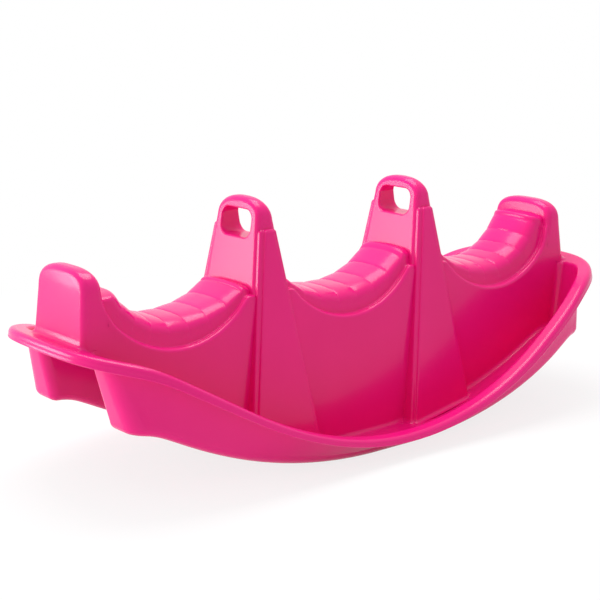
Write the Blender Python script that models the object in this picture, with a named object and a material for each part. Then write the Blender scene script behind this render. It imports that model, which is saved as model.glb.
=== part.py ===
"""Rocking boat for three small children, modelled as the regions of its moulding.

The toy is one thin plastic moulding with the section of a W: a hollow ridge down
the middle carries three saddle seats and two handle posts, and a foot well on each
side doubles as a curved runner underneath. Each region is its own closed solid,
seated on its neighbours with a hair gap.

Metres, +Z up, X along the boat, Y across it. The origin lies on the floor under the
middle of the boat.
"""
import math

import bmesh
import bpy
from mathutils import Vector

# Overall form. The length follows from the seats, the end blocks and the noses.
SEAT_PITCH = 0.300           # one seat to the next
SEAT_REACH = 0.110           # middle of an end seat to its end block
BLOCK_THICKNESS = 0.046      # of an end block at the deck
NOSE_DECK = 0.0325           # end block to the tip of the rim
RIDGE_JOINT = SEAT_PITCH + SEAT_REACH      # where the side walls meet the end blocks
BLOCK_FACE = RIDGE_JOINT + BLOCK_THICKNESS  # outer face of a block, at the deck
HALF_LENGTH = BLOCK_FACE + NOSE_DECK
HALF_BEAM = 0.1980           # rim to centre line, amidships
PLAN_FULLNESS_X = 3.3        # superellipse powers of the rim seen from above
PLAN_FULLNESS_Y = 3.4
WALL = 0.0036                # plastic thickness
GAP = 0.0003                 # hair gap between seated regions
SEAM_CLEARANCE = 0.0008      # where a seam follows the curve of the rim or the floor

# Rim and decks
RIM_HEIGHT = 0.0345          # top of the rim amidships
SHEER_RADIUS = 0.466         # the rim rises on this arc, then runs straight
SHEER_SLOPE = 0.586          # slope of the straight part
NOSE_BEND = 0.376            # where the straight part begins to level off
NOSE_LEVEL = 0.426           # and where it has reached the slope of the nose
NOSE_SLOPE = 0.268
RIM_WIDTH = 0.0242           # outer edge of the rim to the edge of the well
RIM_ROUND = 0.010            # how far in the rolled edge begins
LIP_DROP_MIDDLE = 0.011      # turned-down lip, amidships
LIP_DROP_END = 0.0155        # and at the noses
LIP_SWELL_START = 0.12       # the lip deepens between these two stations
LIP_SWELL_END = 0.42

# Runners under the foot wells
ROCKER_RADIUS = 0.72
REST_LAND = 0.030            # half length of the flat that the boat stands on
FOOT_HEIGHT = 0.098          # underside of the anti-tip foot at each runner's end
FOOT_BLEND = 0.006           # softness of the notch where arc and foot meet
WELL_BEHIND_BLOCK = 0.009    # the well ends this far short of the block's face
WELL_END_RAKE = 0.023        # lean of its end wall, deck to floor
WELL_END_TOP = BLOCK_FACE - WELL_BEHIND_BLOCK
WELL_END_FLOOR = WELL_END_TOP - WELL_END_RAKE
HULL_FLARE = 0.0218          # lean of the hull's side amidships, floor to rim
KEEL_BEAM = HALF_BEAM - RIM_WIDTH - HULL_FLARE  # outer edge of the runner amidships
KEEL_FULLNESS = 5.0
WELL_CORNER_TOP = 0.034      # plan fillets of the well
WELL_CORNER_FLOOR = 0.028
WELL_INNER_CORNER = 0.010
WELL_FILLET = 0.008          # floor to wall

# Ridge
RIDGE_HALF_AT_FLOOR = 0.0795  # half width of the ridge at floor level
RIDGE_TAPER = 0.075          # width lost per metre of height, on each side

# Seats
SEAT_LOW = 0.173             # lowest point of the bead along a seat's edge
BEAD_RADIUS = 0.148          # radius of that edge, seen from the side
BEAD_DEPTH = 0.0095
BEAD_PROUD = 0.0015
BEAD_ROUND = 0.0030
PAD_SIDE_DEPTH = 0.0135      # height of the pad's plain side above the bead
PAD_CROWN = 0.0205           # from the pad's side up to its middle
PAD_HALF_WIDTH = 0.0535
PAD_DRAFT = 0.0015           # lean of the plain side
PAD_END_AT_POST = 0.262      # height of the pad's end against a post
PAD_END_AT_BLOCK = 0.288
BEAD_END_AT_BLOCK = 0.258
BEAD_LIFT = 0.006            # the bead turns up over the wall's corner at a post
CHANNEL_DEPTH = 0.0030
CHANNEL_PITCH = math.radians(14.0)
CHANNELS_PER_SIDE = 4
CHANNEL_AT_EDGE = 0.4        # share of a channel's depth that reaches the pad's edge
QUILTED_SHARE = 0.96         # share of a line's arc before it turns up to its end
CROWDED_SHARE = 0.10         # last share of that arc, where spare points crowd together

# Handle posts
POST_X = SEAT_PITCH / 2
POST_BASE = 0.2283
POST_TOP = 0.364
POST_ARCH = 0.042            # height of the rounded head
POST_FULLNESS = 2.5          # superellipse power of that head
POST_HALF_WIDTH = 0.0465     # where the head begins
POST_HALF_THICKNESS = 0.0170  # there, along the boat
POST_LEAN = 0.158            # thickness gained per metre down, on each face
POST_EDGE = 0.009
HOLE_HEIGHT = 0.329
HOLE_HALF_WIDTH = 0.0335
HOLE_HALF_HEIGHT = 0.0205
HOLE_CORNER = 0.014
HOLE_FLARE = 0.0025
CORE_ROUND = 0.012           # head of the hollow under the hand hole

# Buttresses beside the posts
BUTTRESS_TOP = 0.323
BUTTRESS_HALF_Y = 0.059      # outer face at the top
BUTTRESS_SPREAD = 0.134      # gained per metre down
BUTTRESS_STEP = 0.0035       # height of the raised panel over its border
BUTTRESS_BORDER = 0.0060     # width of that border
BUTTRESS_ROUND = 0.0012
BUTTRESS_EDGE = 0.006

# End blocks
BLOCK_TOP = 0.302
BLOCK_CROWN = 0.006
BLOCK_CORNER = 0.030
BLOCK_EDGE = 0.010
BLOCK_LEAN = 0.085           # both faces lean in, per metre
BLOCK_INNER = RIDGE_JOINT + GAP

# Fineness of the facets
PLAN_POINTS = 60
SIDE_POINTS = 29             # odd, so that one facet lies flat in the middle of the land
CORNER_STEPS = 4
EDGE_STEPS = 3
HEAD_STEPS = 14
BLOCK_CORNER_STEPS = 5
END_SEAT_STEPS = 20
MIDDLE_SEAT_STEPS = 22
CROWN_STEPS = 4
CHANNEL_STEPS = 4

PINK = (0.830, 0.030, 0.160)


def sheer(x):
    """Height of the rim's top edge at a station: an arc, a slope, a bend, the nose."""
    distance = abs(x)
    arc = min(distance, SHEER_RADIUS * SHEER_SLOPE)
    height = RIM_HEIGHT + arc ** 2 / (2 * SHEER_RADIUS) + (distance - arc) * SHEER_SLOPE
    past = max(distance - NOSE_BEND, 0.0)
    bend = NOSE_LEVEL - NOSE_BEND
    easing = min(past, bend) ** 2 / (2 * bend) + max(past - bend, 0.0)
    return height - (SHEER_SLOPE - NOSE_SLOPE) * easing


def rocker(x):
    """Height of the runner's underside: a flat land, an arc, then the level foot."""
    distance = max(abs(x) - REST_LAND, 0.0)
    arc = ROCKER_RADIUS - math.sqrt(ROCKER_RADIUS ** 2 - distance ** 2)
    sharp = (arc - FOOT_HEIGHT) / FOOT_BLEND
    if sharp < -30:
        return arc
    return arc - FOOT_BLEND * math.log1p(math.exp(sharp))


def ridge_half(z):
    """Half width of the ridge at a height."""
    return RIDGE_HALF_AT_FLOOR - RIDGE_TAPER * z


def lip_drop(x):
    """How far the rolled lip reaches below the rim's top."""
    share = (abs(x) - LIP_SWELL_START) / (LIP_SWELL_END - LIP_SWELL_START)
    share = min(max(share, 0.0), 1.0)
    share = share * share * (3 - 2 * share)
    return LIP_DROP_MIDDLE + (LIP_DROP_END - LIP_DROP_MIDDLE) * share


def mix(a, b, share):
    return a + (b - a) * share


def plan_outline(count):
    """Outer edge of the rim from above, with its outward normals."""
    ring = []
    for i in range(count):
        turn = 2 * math.pi * i / count
        c, s = math.cos(turn), math.sin(turn)
        x = HALF_LENGTH * math.copysign(abs(c) ** (2 / PLAN_FULLNESS_X), c)
        y = HALF_BEAM * math.copysign(abs(s) ** (2 / PLAN_FULLNESS_Y), s)
        nx = math.copysign(abs(x / HALF_LENGTH) ** (PLAN_FULLNESS_X - 1), c) / HALF_LENGTH
        ny = math.copysign(abs(y / HALF_BEAM) ** (PLAN_FULLNESS_Y - 1), s) / HALF_BEAM
        ring.append((Vector((x, y)), Vector((nx, ny)).normalized()))
    return ring


FINE_OUTLINE = plan_outline(720)


def beam(x, inset):
    """Half beam at a station, of the rim's outline moved inwards by inset."""
    points = [p - n * inset for p, n in FINE_OUTLINE if p.y >= 0]
    best = None
    for a, b in zip(points, points[1:]):
        if min(a.x, b.x) <= abs(x) <= max(a.x, b.x) and a.x != b.x:
            y = mix(a.y, b.y, (abs(x) - a.x) / (b.x - a.x))
            best = y if best is None else max(best, y)
    return best if best is not None else 0.0


def keel_beam(x):
    """Outer edge of the runner's underside at a station."""
    return KEEL_BEAM * (1 - (abs(x) / HALF_LENGTH) ** KEEL_FULLNESS) ** (1 / PLAN_FULLNESS_Y)


def fillet(before, corner, after, radius, steps):
    """Points of an arc that rounds a plan corner."""
    to_before = (before - corner).normalized()
    to_after = (after - corner).normalized()
    half = math.acos(max(-1.0, min(1.0, to_before.dot(to_after)))) / 2
    reach = radius / math.tan(half)
    centre = corner + (to_before + to_after).normalized() * (radius / math.sin(half))
    start = corner + to_before * reach - centre
    end = corner + to_after * reach - centre
    sweep = start.angle_signed(end)
    points = []
    for k in range(steps + 1):
        turn = -sweep * k / steps
        points.append(centre + Vector((
            start.x * math.cos(turn) - start.y * math.sin(turn),
            start.x * math.sin(turn) + start.y * math.cos(turn))))
    return points


def well_loop(end, inner, outer, outer_corner, grow=0.0):
    """Plan loop of a foot well on the +Y side, the same count at every level.

    It runs from the middle of the front end, along the outer side, to the middle of
    the rear end, and back along the ridge. Grow moves every side outwards.
    """
    reach = end + grow
    outer_y = [outer(x) + grow for x in (-reach, reach)]
    inner_y = inner(reach) - grow
    probe = 0.004
    slope_point = Vector((reach - probe, outer(reach - probe) + grow))
    corner = Vector((reach, outer_y[1]))
    middle = Vector((reach, (inner_y + outer_y[1]) / 2))
    outer_arc = fillet(slope_point, corner, middle, outer_corner + grow, CORNER_STEPS)
    first_x = outer_arc[0].x
    side = []
    for k in range(1, SIDE_POINTS):
        x = -first_x * math.cos(math.pi * k / SIDE_POINTS)
        side.append(Vector((x, outer(x) + grow)))
    inner_corner = Vector((reach, inner_y))
    inner_arc = fillet(middle, inner_corner, Vector((0, inner_y)), WELL_INNER_CORNER + grow,
                       CORNER_STEPS)
    last_x = inner_arc[-1].x
    back = []
    for k in range(1, SIDE_POINTS):
        x = last_x * math.cos(math.pi * k / SIDE_POINTS)
        back.append(Vector((x, inner(x) - grow)))
    mirrored = [Vector((-p.x, p.y)) for p in reversed(outer_arc)]
    mirrored_in = [Vector((-p.x, p.y)) for p in reversed(inner_arc)]
    front_middle = Vector((-middle.x, middle.y))
    return [front_middle] + mirrored + side + outer_arc + [middle] + inner_arc + back + mirrored_in


def new_object(name, bm, smooth=True):
    """Turn a bmesh into a named object of the pink plastic, with its faces outwards."""
    bmesh.ops.remove_doubles(bm, verts=bm.verts, dist=1e-6)
    bmesh.ops.recalc_face_normals(bm, faces=bm.faces)
    mesh = bpy.data.meshes.new(name)
    bm.to_mesh(mesh)
    bm.free()
    if smooth:
        mesh.shade_smooth()
        mesh.set_sharp_from_angle(angle=math.radians(32))
    thing = bpy.data.objects.new(name, mesh)
    bpy.context.scene.collection.objects.link(thing)
    return thing


def finish(thing, material_name, shade=1.0):
    """Give a region its own material: the same glossy pink, a shade apart."""
    material = bpy.data.materials.new(material_name)
    material.use_nodes = True
    shader = material.node_tree.nodes["Principled BSDF"]
    shader.inputs["Base Color"].default_value = (*[channel * shade for channel in PINK], 1)
    shader.inputs["Roughness"].default_value = 0.22
    shader.inputs["Metallic"].default_value = 0.0
    thing.data.materials.append(material)
    return thing


def cutter(thing):
    """Mark an object as a tool for a Boolean, not a piece of the boat."""
    thing.hide_render = True
    thing.display_type = "WIRE"
    return thing


def cut(thing, tool):
    """Subtract a tool from a region."""
    step = thing.modifiers.new("cut_" + tool.name, "BOOLEAN")
    step.operation = "DIFFERENCE"
    step.solver = "EXACT"
    step.object = tool


def add_ring(bm, points):
    return [bm.verts.new(p) for p in points]


def bridge(bm, ring_a, ring_b):
    """Join two closed rings of the same count with quads."""
    count = len(ring_a)
    for i in range(count):
        j = (i + 1) % count
        bm.faces.new((ring_a[i], ring_a[j], ring_b[j], ring_b[i]))


def ladder(bm, ring):
    """Close a ring with rungs between its two sides, which start and end at the tips."""
    half = len(ring) // 2
    for i in range(half):
        a, b = ring[i], ring[i + 1]
        c, d = ring[(-i - 1) % len(ring)], ring[-i % len(ring)]
        corners = []
        for vertex in (a, b, c, d):
            if vertex not in corners:
                corners.append(vertex)
        if len(corners) > 2:
            bm.faces.new(corners)


def trim(bm, station, hand):
    """Take away what lies past a station, and close the cut with one flat face."""
    bmesh.ops.remove_doubles(bm, verts=bm.verts, dist=1e-6)
    section = bmesh.ops.bisect_plane(
        bm, geom=bm.verts[:] + bm.edges[:] + bm.faces[:], dist=1e-7,
        plane_co=(station, 0, 0), plane_no=(hand, 0, 0), clear_outer=True)
    edges = [part for part in section["geom_cut"] if isinstance(part, bmesh.types.BMEdge)]
    bmesh.ops.edgeloop_fill(bm, edges=edges)


def foot_well(name, side, start, stop):
    """One rider's stretch of a tub that is a foot well above and a runner below.

    Start and stop are the stations of its seams, or None at the tub's own ends.
    """
    bm = bmesh.new()

    def rings(grow, lift, lower_top):
        top = well_loop(WELL_END_TOP, lambda x: ridge_half(sheer(x) - lower_top),
                        lambda x: beam(x, RIM_WIDTH), WELL_CORNER_TOP, grow)
        rounding = WELL_FILLET + grow
        levels = []
        for k in range(EDGE_STEPS + 1):
            turn = math.pi / 2 * k / EDGE_STEPS
            inset = rounding * (1 - math.cos(turn))
            height = rounding * (1 - math.sin(turn))
            loop = well_loop(WELL_END_FLOOR, lambda x: ridge_half(rocker(x) + WALL + WELL_FILLET),
                             keel_beam, WELL_CORNER_FLOOR, grow - inset)
            levels.append([Vector((p.x, p.y, rocker(p.x) + lift + height)) for p in loop])
        rim = [Vector((p.x, p.y, sheer(p.x) - lower_top)) for p in top]
        return [rim] + levels

    under_rim = WALL + SEAM_CLEARANCE
    inside = rings(0.0, WALL, under_rim)
    outside = rings(WALL, 0.0, under_rim)
    ring_sets = []
    for loops in (inside, outside):
        made = [add_ring(bm, [(p.x, side * p.y, p.z) for p in loop]) for loop in loops]
        for a, b in zip(made, made[1:]):
            bridge(bm, a, b)
        ladder(bm, made[-1])
        ring_sets.append(made)
    bridge(bm, ring_sets[0][0], ring_sets[1][0])
    if start is not None:
        trim(bm, start, -1)
    if stop is not None:
        trim(bm, stop, 1)
    return finish(new_object(name, bm), name + "_plastic", 0.96)


def well_cutter(name, side):
    """Upright prism that opens the gunwale over a foot well."""
    bm = bmesh.new()
    loop = well_loop(WELL_END_TOP, lambda _: ridge_half(sheer(BLOCK_FACE)) - WALL,
                     lambda x: beam(x, RIM_WIDTH), WELL_CORNER_TOP)
    low = add_ring(bm, [(p.x, side * p.y, -WALL) for p in loop])
    high = add_ring(bm, [(p.x, side * p.y, BLOCK_TOP) for p in loop])
    bridge(bm, low, high)
    ladder(bm, low)
    ladder(bm, high)
    return cutter(new_object(name, bm, smooth=False))


def rounded_rectangle(half_x, half_y, radius, steps):
    """Plan loop of a rectangle with round corners, anticlockwise."""
    loop = []
    for quarter in range(4):
        sx = 1 if quarter in (0, 3) else -1
        sy = 1 if quarter in (0, 1) else -1
        for k in range(steps + 1):
            turn = math.pi / 2 * (quarter + k / steps)
            loop.append(Vector((sx * (half_x - radius) + radius * math.cos(turn),
                                sy * (half_y - radius) + radius * math.sin(turn))))
    return loop


def gunwale():
    """The boat-shaped rim with its turned-down lip, and the two end decks."""
    bm = bmesh.new()
    outline = plan_outline(PLAN_POINTS)
    edge = RIM_ROUND

    def section(skin):
        """Offsets from the outline and heights from the sheer, lip to deck."""
        rounding = edge - skin
        points = [(skin, None), (skin, -edge)]
        for k in range(1, EDGE_STEPS + 1):
            turn = math.pi / 2 * k / EDGE_STEPS
            points.append((edge - rounding * math.cos(turn),
                           -edge + rounding * math.sin(turn)))
        points.append((RIM_WIDTH, -skin))
        return points

    ring_sets = []
    for skin in (0.0, WALL):
        made = []
        for offset, height in section(skin):
            ring = []
            for p, n in outline:
                q = p - n * offset
                rise = -lip_drop(q.x) if height is None else height
                ring.append((q.x, q.y, sheer(q.x) + rise))
            made.append(add_ring(bm, ring))
        for a, b in zip(made, made[1:]):
            bridge(bm, a, b)
        ladder(bm, made[-1])
        ring_sets.append(made)
    bridge(bm, ring_sets[0][0], ring_sets[1][0])
    shell = finish(new_object("gunwale", bm), "gunwale_plastic", 1.06)
    cut(shell, well_cutter("well_opening_left", 1))
    cut(shell, well_cutter("well_opening_right", -1))
    bm = bmesh.new()
    deck = sheer(BLOCK_FACE)
    foot_half = ridge_half(deck - 2 * WALL)
    loop = rounded_rectangle(BLOCK_FACE + GAP, foot_half + GAP, BLOCK_EDGE + GAP, CORNER_STEPS)
    low = add_ring(bm, [(p.x, p.y, -WALL) for p in loop])
    high = add_ring(bm, [(p.x, p.y, BLOCK_TOP) for p in loop])
    bridge(bm, low, high)
    bm.faces.new(low)
    bm.faces.new(high)
    cut(shell, cutter(new_object("ridge_opening", bm, smooth=False)))
    return shell


def seat_arc(centre, radius, start, end, steps):
    """Points along a seat's side view, from one angle to another."""
    middle_z = SEAT_LOW + BEAD_RADIUS
    points = []
    for k in range(steps + 1):
        turn = mix(start, end, k / steps)
        points.append(Vector((centre + radius * math.sin(turn), middle_z - radius * math.cos(turn))))
    return points


def saddle_wall(name, side):
    """One side of the ridge: scalloped for the seats, level under the posts."""
    middle_z = SEAT_LOW + BEAD_RADIUS
    top = POST_BASE - GAP
    reach = math.acos((middle_z - top) / BEAD_RADIUS)
    end_reach = math.asin(SEAT_REACH / BEAD_RADIUS)
    edge = (seat_arc(-SEAT_PITCH, BEAD_RADIUS, -end_reach, reach, END_SEAT_STEPS)
            + seat_arc(0.0, BEAD_RADIUS, -reach, reach, MIDDLE_SEAT_STEPS)
            + seat_arc(SEAT_PITCH, BEAD_RADIUS, -reach, end_reach, END_SEAT_STEPS))
    bm = bmesh.new()
    columns = []
    for p in edge:
        foot = sheer(p.x) - WALL
        column = []
        for z, skin in ((foot, WALL), (foot, 0.0), (p.y, 0.0), (p.y, WALL)):
            column.append(bm.verts.new((p.x, side * (ridge_half(z) - skin), z)))
        columns.append(column)
    for a, b in zip(columns, columns[1:]):
        bridge(bm, a, b)
    bm.faces.new(columns[0])
    bm.faces.new(columns[-1])
    return finish(new_object(name, bm), name + "_plastic", 0.92)


def post_face(z):
    """Half thickness of a post at a height, which both faces share by mirror."""
    return POST_HALF_THICKNESS + POST_LEAN * (POST_TOP - POST_ARCH - z)


def block_face_inner(z):
    """Distance from the middle of the boat to an end block's seat side."""
    return BLOCK_INNER + BLOCK_LEAN * max(z - SEAT_LOW, 0.0)


def seat_pad(name, centre, faces, ends, bead_ends):
    """A quilted saddle pad with a beaded skirt, as a thin shell.

    Faces are the two surfaces that the pad runs up against, as functions of the
    height, and ends and bead_ends are the heights that it and its bead reach there.
    """
    middle_z = SEAT_LOW + BEAD_RADIUS
    seated = BEAD_RADIUS - GAP
    bead_top = BEAD_RADIUS - BEAD_DEPTH
    side_top = bead_top - PAD_SIDE_DEPTH
    crown = side_top - PAD_CROWN
    skirt = ridge_half(SEAT_LOW) + BEAD_PROUD
    profile = [
        (skirt - BEAD_PROUD, seated, 0.0), (skirt, seated - BEAD_ROUND, 0.0),
        (skirt, bead_top + BEAD_ROUND, 0.0), (skirt - BEAD_ROUND, bead_top, 0.0),
        (PAD_HALF_WIDTH + PAD_DRAFT, bead_top, 0.0)]
    for k in range(CROWN_STEPS + 1):
        rise = math.sin(math.pi / 2 * k / CROWN_STEPS)
        profile.append((PAD_HALF_WIDTH * math.cos(math.pi / 2 * k / CROWN_STEPS),
                        side_top - PAD_CROWN * rise, mix(CHANNEL_AT_EDGE, 1.0, rise)))
    profile = profile + [(-y, r, g) for y, r, g in reversed(profile[:-1])]
    lining = [(skirt - BEAD_PROUD - WALL, seated), (skirt - BEAD_PROUD - WALL, bead_top + WALL),
              (PAD_HALF_WIDTH - WALL, bead_top + WALL), (PAD_HALF_WIDTH - WALL, side_top + WALL)]
    lining = lining + [(0.0, crown + 2 * WALL)] + [(-y, r) for y, r in reversed(lining)]

    def taper(z):
        return ridge_half(z) / ridge_half(SEAT_LOW)

    def stations(radius, share, groove):
        """Side view of one lengthwise line of the pad, end to end."""
        halves = []
        steps = CHANNEL_STEPS * CHANNELS_PER_SIDE
        for index, hand in enumerate((-1, 1)):
            top = mix(bead_ends[index], ends[index], share)
            face = faces[index](top) - GAP
            climb = math.acos(min(max((middle_z - top) / radius, -1.0), 1.0))
            meet = math.asin(min(QUILTED_SHARE * abs(face - centre * hand) / radius, 1.0))
            limit = QUILTED_SHARE * min(climb, meet)
            half = []
            for k in range(steps + 1):
                crowding = mix(1 - CROWDED_SHARE, 1.0, k / steps)
                turn = min(CHANNEL_PITCH * k / CHANNEL_STEPS, limit * crowding)
                dip = CHANNEL_DEPTH * groove * max(0.0, -math.cos(2 * math.pi * turn / CHANNEL_PITCH))
                half.append((centre + hand * (radius + dip) * math.sin(turn),
                             middle_z - (radius + dip) * math.cos(turn)))
            half.append((hand * face, top))
            halves.append(half)
        return list(reversed(halves[0])) + halves[1][1:]

    bm = bmesh.new()
    span = seated - crown
    outer = []
    for y, radius, groove in profile:
        line = stations(radius, (seated - radius) / span, groove)
        outer.append([bm.verts.new((x, y * taper(z), z)) for x, z in line])
    inner = []
    for y, radius in lining:
        line = stations(radius, (seated - radius) / span, 0)
        inner.append([bm.verts.new((x, y * taper(z), z)) for x, z in line])
    for sheet in (outer, inner):
        for a, b in zip(sheet, sheet[1:]):
            for i in range(len(a) - 1):
                bm.faces.new((a[i], a[i + 1], b[i + 1], b[i]))
    for a, b in ((outer[0], inner[0]), (outer[-1], inner[-1])):
        for i in range(len(a) - 1):
            bm.faces.new((a[i], a[i + 1], b[i + 1], b[i]))
    for i in (0, -1):
        bm.faces.new([line[i] for line in outer] + [line[i] for line in reversed(inner)])
    return finish(new_object(name, bm), name + "_plastic", 1.10)


def slab(name, outline, near_face, far_face, edge, base, foot_half):
    """A thick upright slab: an outline in the YZ plane between two leaning faces.

    The faces give X for a height. The outline's edges are rounded where the faces
    start. Its lowest points follow base, a height for a given X, and stand at
    foot_half, a half width for a given height.
    """
    bm = bmesh.new()
    low = min(z for _, z in outline)
    centre = sum((Vector(p) for p in outline), Vector((0, 0))) / len(outline)

    def inward(points, amount):
        moved = []
        count = len(points)
        for i, (y, z) in enumerate(points):
            before = Vector(points[i - 1])
            after = Vector(points[(i + 1) % count])
            along = (after - before).normalized()
            normal = Vector((-along.y, along.x))
            if normal.dot(centre - Vector((y, z))) < 0:
                normal = -normal
            if z == low:
                normal = Vector((math.copysign(1.0, -y), 0))
            moved.append((y + normal.x * amount, z + normal.y * amount))
        return moved

    rings = []
    for hand, face in ((-1, near_face), (1, far_face)):
        levels = []
        for k in range(EDGE_STEPS + 1):
            turn = math.pi / 2 * k / EDGE_STEPS
            inset = edge * (1 - math.sin(turn))
            loop = inward(outline, inset)
            depth = edge * (1 - math.cos(turn))
            ring = []
            for y, z in loop:
                if z == low:
                    z = base(face(base(face(z))) - hand * depth)
                    y = math.copysign(foot_half(z) - inset, y)
                ring.append((face(z) - hand * depth, y, z))
            levels.append(ring)
        rings += levels if hand < 0 else list(reversed(levels))
    made = [add_ring(bm, ring) for ring in rings]
    for a, b in zip(made, made[1:]):
        bridge(bm, a, b)
    bm.faces.new(made[0])
    bm.faces.new(made[-1])
    return new_object(name, bm)


def carrier_half(z):
    """Half width of what a buttress leans on: the ridge, and above it the post."""
    head = POST_TOP - POST_ARCH
    if z <= POST_BASE:
        return ridge_half(z)
    return mix(ridge_half(POST_BASE), POST_HALF_WIDTH, (z - POST_BASE) / (head - POST_BASE))


def head_outline(half_low, low, half_high, high, rise):
    """Front view of a post: straight leaning sides under a full, rounded head."""
    points = [(half_low, low)]
    for k in range(HEAD_STEPS + 1):
        turn = math.pi * k / HEAD_STEPS
        across = math.copysign(abs(math.cos(turn)) ** (2 / POST_FULLNESS), math.cos(turn))
        points.append((half_high * across, high + rise * abs(math.sin(turn)) ** (2 / POST_FULLNESS)))
    return points + [(-half_low, low)]


def hand_hole(name, centre_x):
    """Rounded tunnel along the boat, with mouths that open a little."""
    bm = bmesh.new()
    rings = []
    reach = post_face(HOLE_HEIGHT) + WALL
    mouth = reach - WALL
    stops = [(-reach, HOLE_FLARE + WALL), (-mouth, HOLE_FLARE), (-mouth + HOLE_FLARE, 0.0),
             (mouth - HOLE_FLARE, 0.0), (mouth, HOLE_FLARE), (reach, HOLE_FLARE + WALL)]
    for along, widen in stops:
        loop = rounded_rectangle(HOLE_HALF_WIDTH + widen, HOLE_HALF_HEIGHT + widen,
                                 HOLE_CORNER + widen, CORNER_STEPS)
        rings.append(add_ring(bm, [(centre_x + along, p.x, HOLE_HEIGHT + p.y) for p in loop]))
    for a, b in zip(rings, rings[1:]):
        bridge(bm, a, b)
    bm.faces.new(rings[0])
    bm.faces.new(rings[-1])
    return cutter(new_object(name, bm, smooth=False))


def handle_post(name, x):
    """Hollow pylon with a hand hole right through it along the boat."""
    head = POST_TOP - POST_ARCH
    outline = head_outline(ridge_half(POST_BASE), POST_BASE, POST_HALF_WIDTH, head, POST_ARCH)
    shell = slab(name, outline, lambda z: x - post_face(z), lambda z: x + post_face(z),
                 POST_EDGE, lambda _: POST_BASE, ridge_half)
    core_low = POST_BASE - WALL
    core_head = HOLE_HEIGHT - HOLE_HALF_HEIGHT - WALL - CORE_ROUND
    core = head_outline(ridge_half(POST_BASE) - WALL, core_low, carrier_half(core_head) - WALL,
                        core_head, CORE_ROUND)
    hollow = slab(name + "_hollow", core, lambda z: x - post_face(z) + WALL,
                  lambda z: x + post_face(z) - WALL, POST_EDGE - WALL, lambda _: core_low,
                  lambda _: ridge_half(POST_BASE) - WALL)
    cut(shell, cutter(hollow))
    cut(shell, hand_hole(name + "_hole", x))
    return finish(shell, name + "_plastic", 1.02)


def buttress(name, x, side):
    """Flared rib that props a post and runs down its side to the well's floor."""
    def half_y(z):
        return BUTTRESS_HALF_Y + BUTTRESS_SPREAD * (BUTTRESS_TOP - z)

    def section(z_of, inset, reach_in):
        """Plan ring from the ridge outwards, with a stepped outer edge."""
        points = []
        for hand in (-1, 1):
            corner = [
                (0.0, None), (0.0, -BUTTRESS_EDGE), (BUTTRESS_ROUND, -BUTTRESS_STEP),
                (BUTTRESS_BORDER, -BUTTRESS_STEP), (BUTTRESS_BORDER + BUTTRESS_ROUND, 0.0)]
            if inset:
                corner = [(inset, None), (inset, -BUTTRESS_STEP - inset)]
            if hand > 0:
                corner = list(reversed(corner))
            for across, out in corner:
                points.append((hand, across, out))
        ring = []
        for hand, across, out in points:
            z = z_of(x)
            for _ in range(3):
                px = x + hand * (post_face(z) - across)
                z = z_of(px)
            if out is None:
                z = max(z, rocker(px) + WALL + WELL_FILLET + SEAM_CLEARANCE) if not inset else z
                y = carrier_half(z) + GAP - reach_in
            else:
                y = half_y(z) + out
            ring.append((px, side * y, z))
        return ring

    bm = bmesh.new()
    top = BUTTRESS_TOP
    stations = [lambda px: rocker(px) + WALL + SEAM_CLEARANCE, lambda _: 0.5 * POST_BASE,
                lambda _: POST_BASE, lambda _: top - BUTTRESS_STEP]
    rings = [add_ring(bm, section(z_of, 0.0, 0.0)) for z_of in stations]
    cap = [Vector(p) for p in section(lambda _: top, 0.0, 0.0)]
    middle = sum(cap, Vector()) / len(cap)
    capped = []
    for p in cap:
        on_post = abs(p.y) < carrier_half(top) + 2 * GAP
        pull = Vector((x - p.x, middle.y - p.y, 0)).normalized() * BUTTRESS_STEP
        capped.append((p.x + pull.x, p.y if on_post else p.y + pull.y, p.z))
    rings.append(add_ring(bm, capped))
    for a, b in zip(rings, rings[1:]):
        bridge(bm, a, b)
    bm.faces.new(rings[0])
    bm.faces.new(rings[-1])
    rib = new_object(name, bm)
    bm = bmesh.new()
    stations = [lambda _: -WALL, lambda _: 0.5 * POST_BASE, lambda _: POST_BASE,
                lambda _: top - 2 * WALL]
    rings = [add_ring(bm, section(z_of, WALL, WALL)) for z_of in stations]
    for a, b in zip(rings, rings[1:]):
        bridge(bm, a, b)
    bm.faces.new(rings[0])
    bm.faces.new(rings[-1])
    cut(rib, cutter(new_object(name + "_hollow", bm, smooth=False)))
    return finish(rib, name + "_plastic", 0.99)


def end_block(name, hand):
    """Hollow upstand that closes the ridge and backs the rider at each end."""
    low = sheer(BLOCK_INNER) - 2 * WALL

    def outline(skin):
        half_low = ridge_half(low) - skin
        top = BLOCK_TOP - skin
        corner = BLOCK_CORNER - skin
        shoulder = top - BLOCK_CROWN - corner
        half = ridge_half(shoulder) - skin
        points = [(half_low, low - skin)]
        for k in range(BLOCK_CORNER_STEPS + 1):
            turn = math.pi / 2 * k / BLOCK_CORNER_STEPS
            points.append((half - corner + corner * math.cos(turn),
                           shoulder + corner * math.sin(turn)))
        points.append((0.0, top))
        return points + [(-y, z) for y, z in reversed(points[:-1])]

    def far(z):
        return BLOCK_FACE - BLOCK_LEAN * max(z - sheer(BLOCK_FACE), 0.0)

    def face_pair(skin):
        inner = lambda z: hand * (block_face_inner(z) + skin)
        outer = lambda z: hand * (far(z) - skin)
        return (outer, inner) if hand < 0 else (inner, outer)

    shell = slab(name, outline(0.0), *face_pair(0.0), BLOCK_EDGE, lambda px: sheer(px) - WALL,
                 ridge_half)
    hollow = slab(name + "_hollow", outline(WALL), *face_pair(WALL), BLOCK_EDGE - WALL,
                  lambda px: sheer(px) - 3 * WALL, lambda z: ridge_half(z) - WALL)
    cut(shell, cutter(hollow))
    return finish(shell, name + "_plastic", 1.04)


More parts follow.
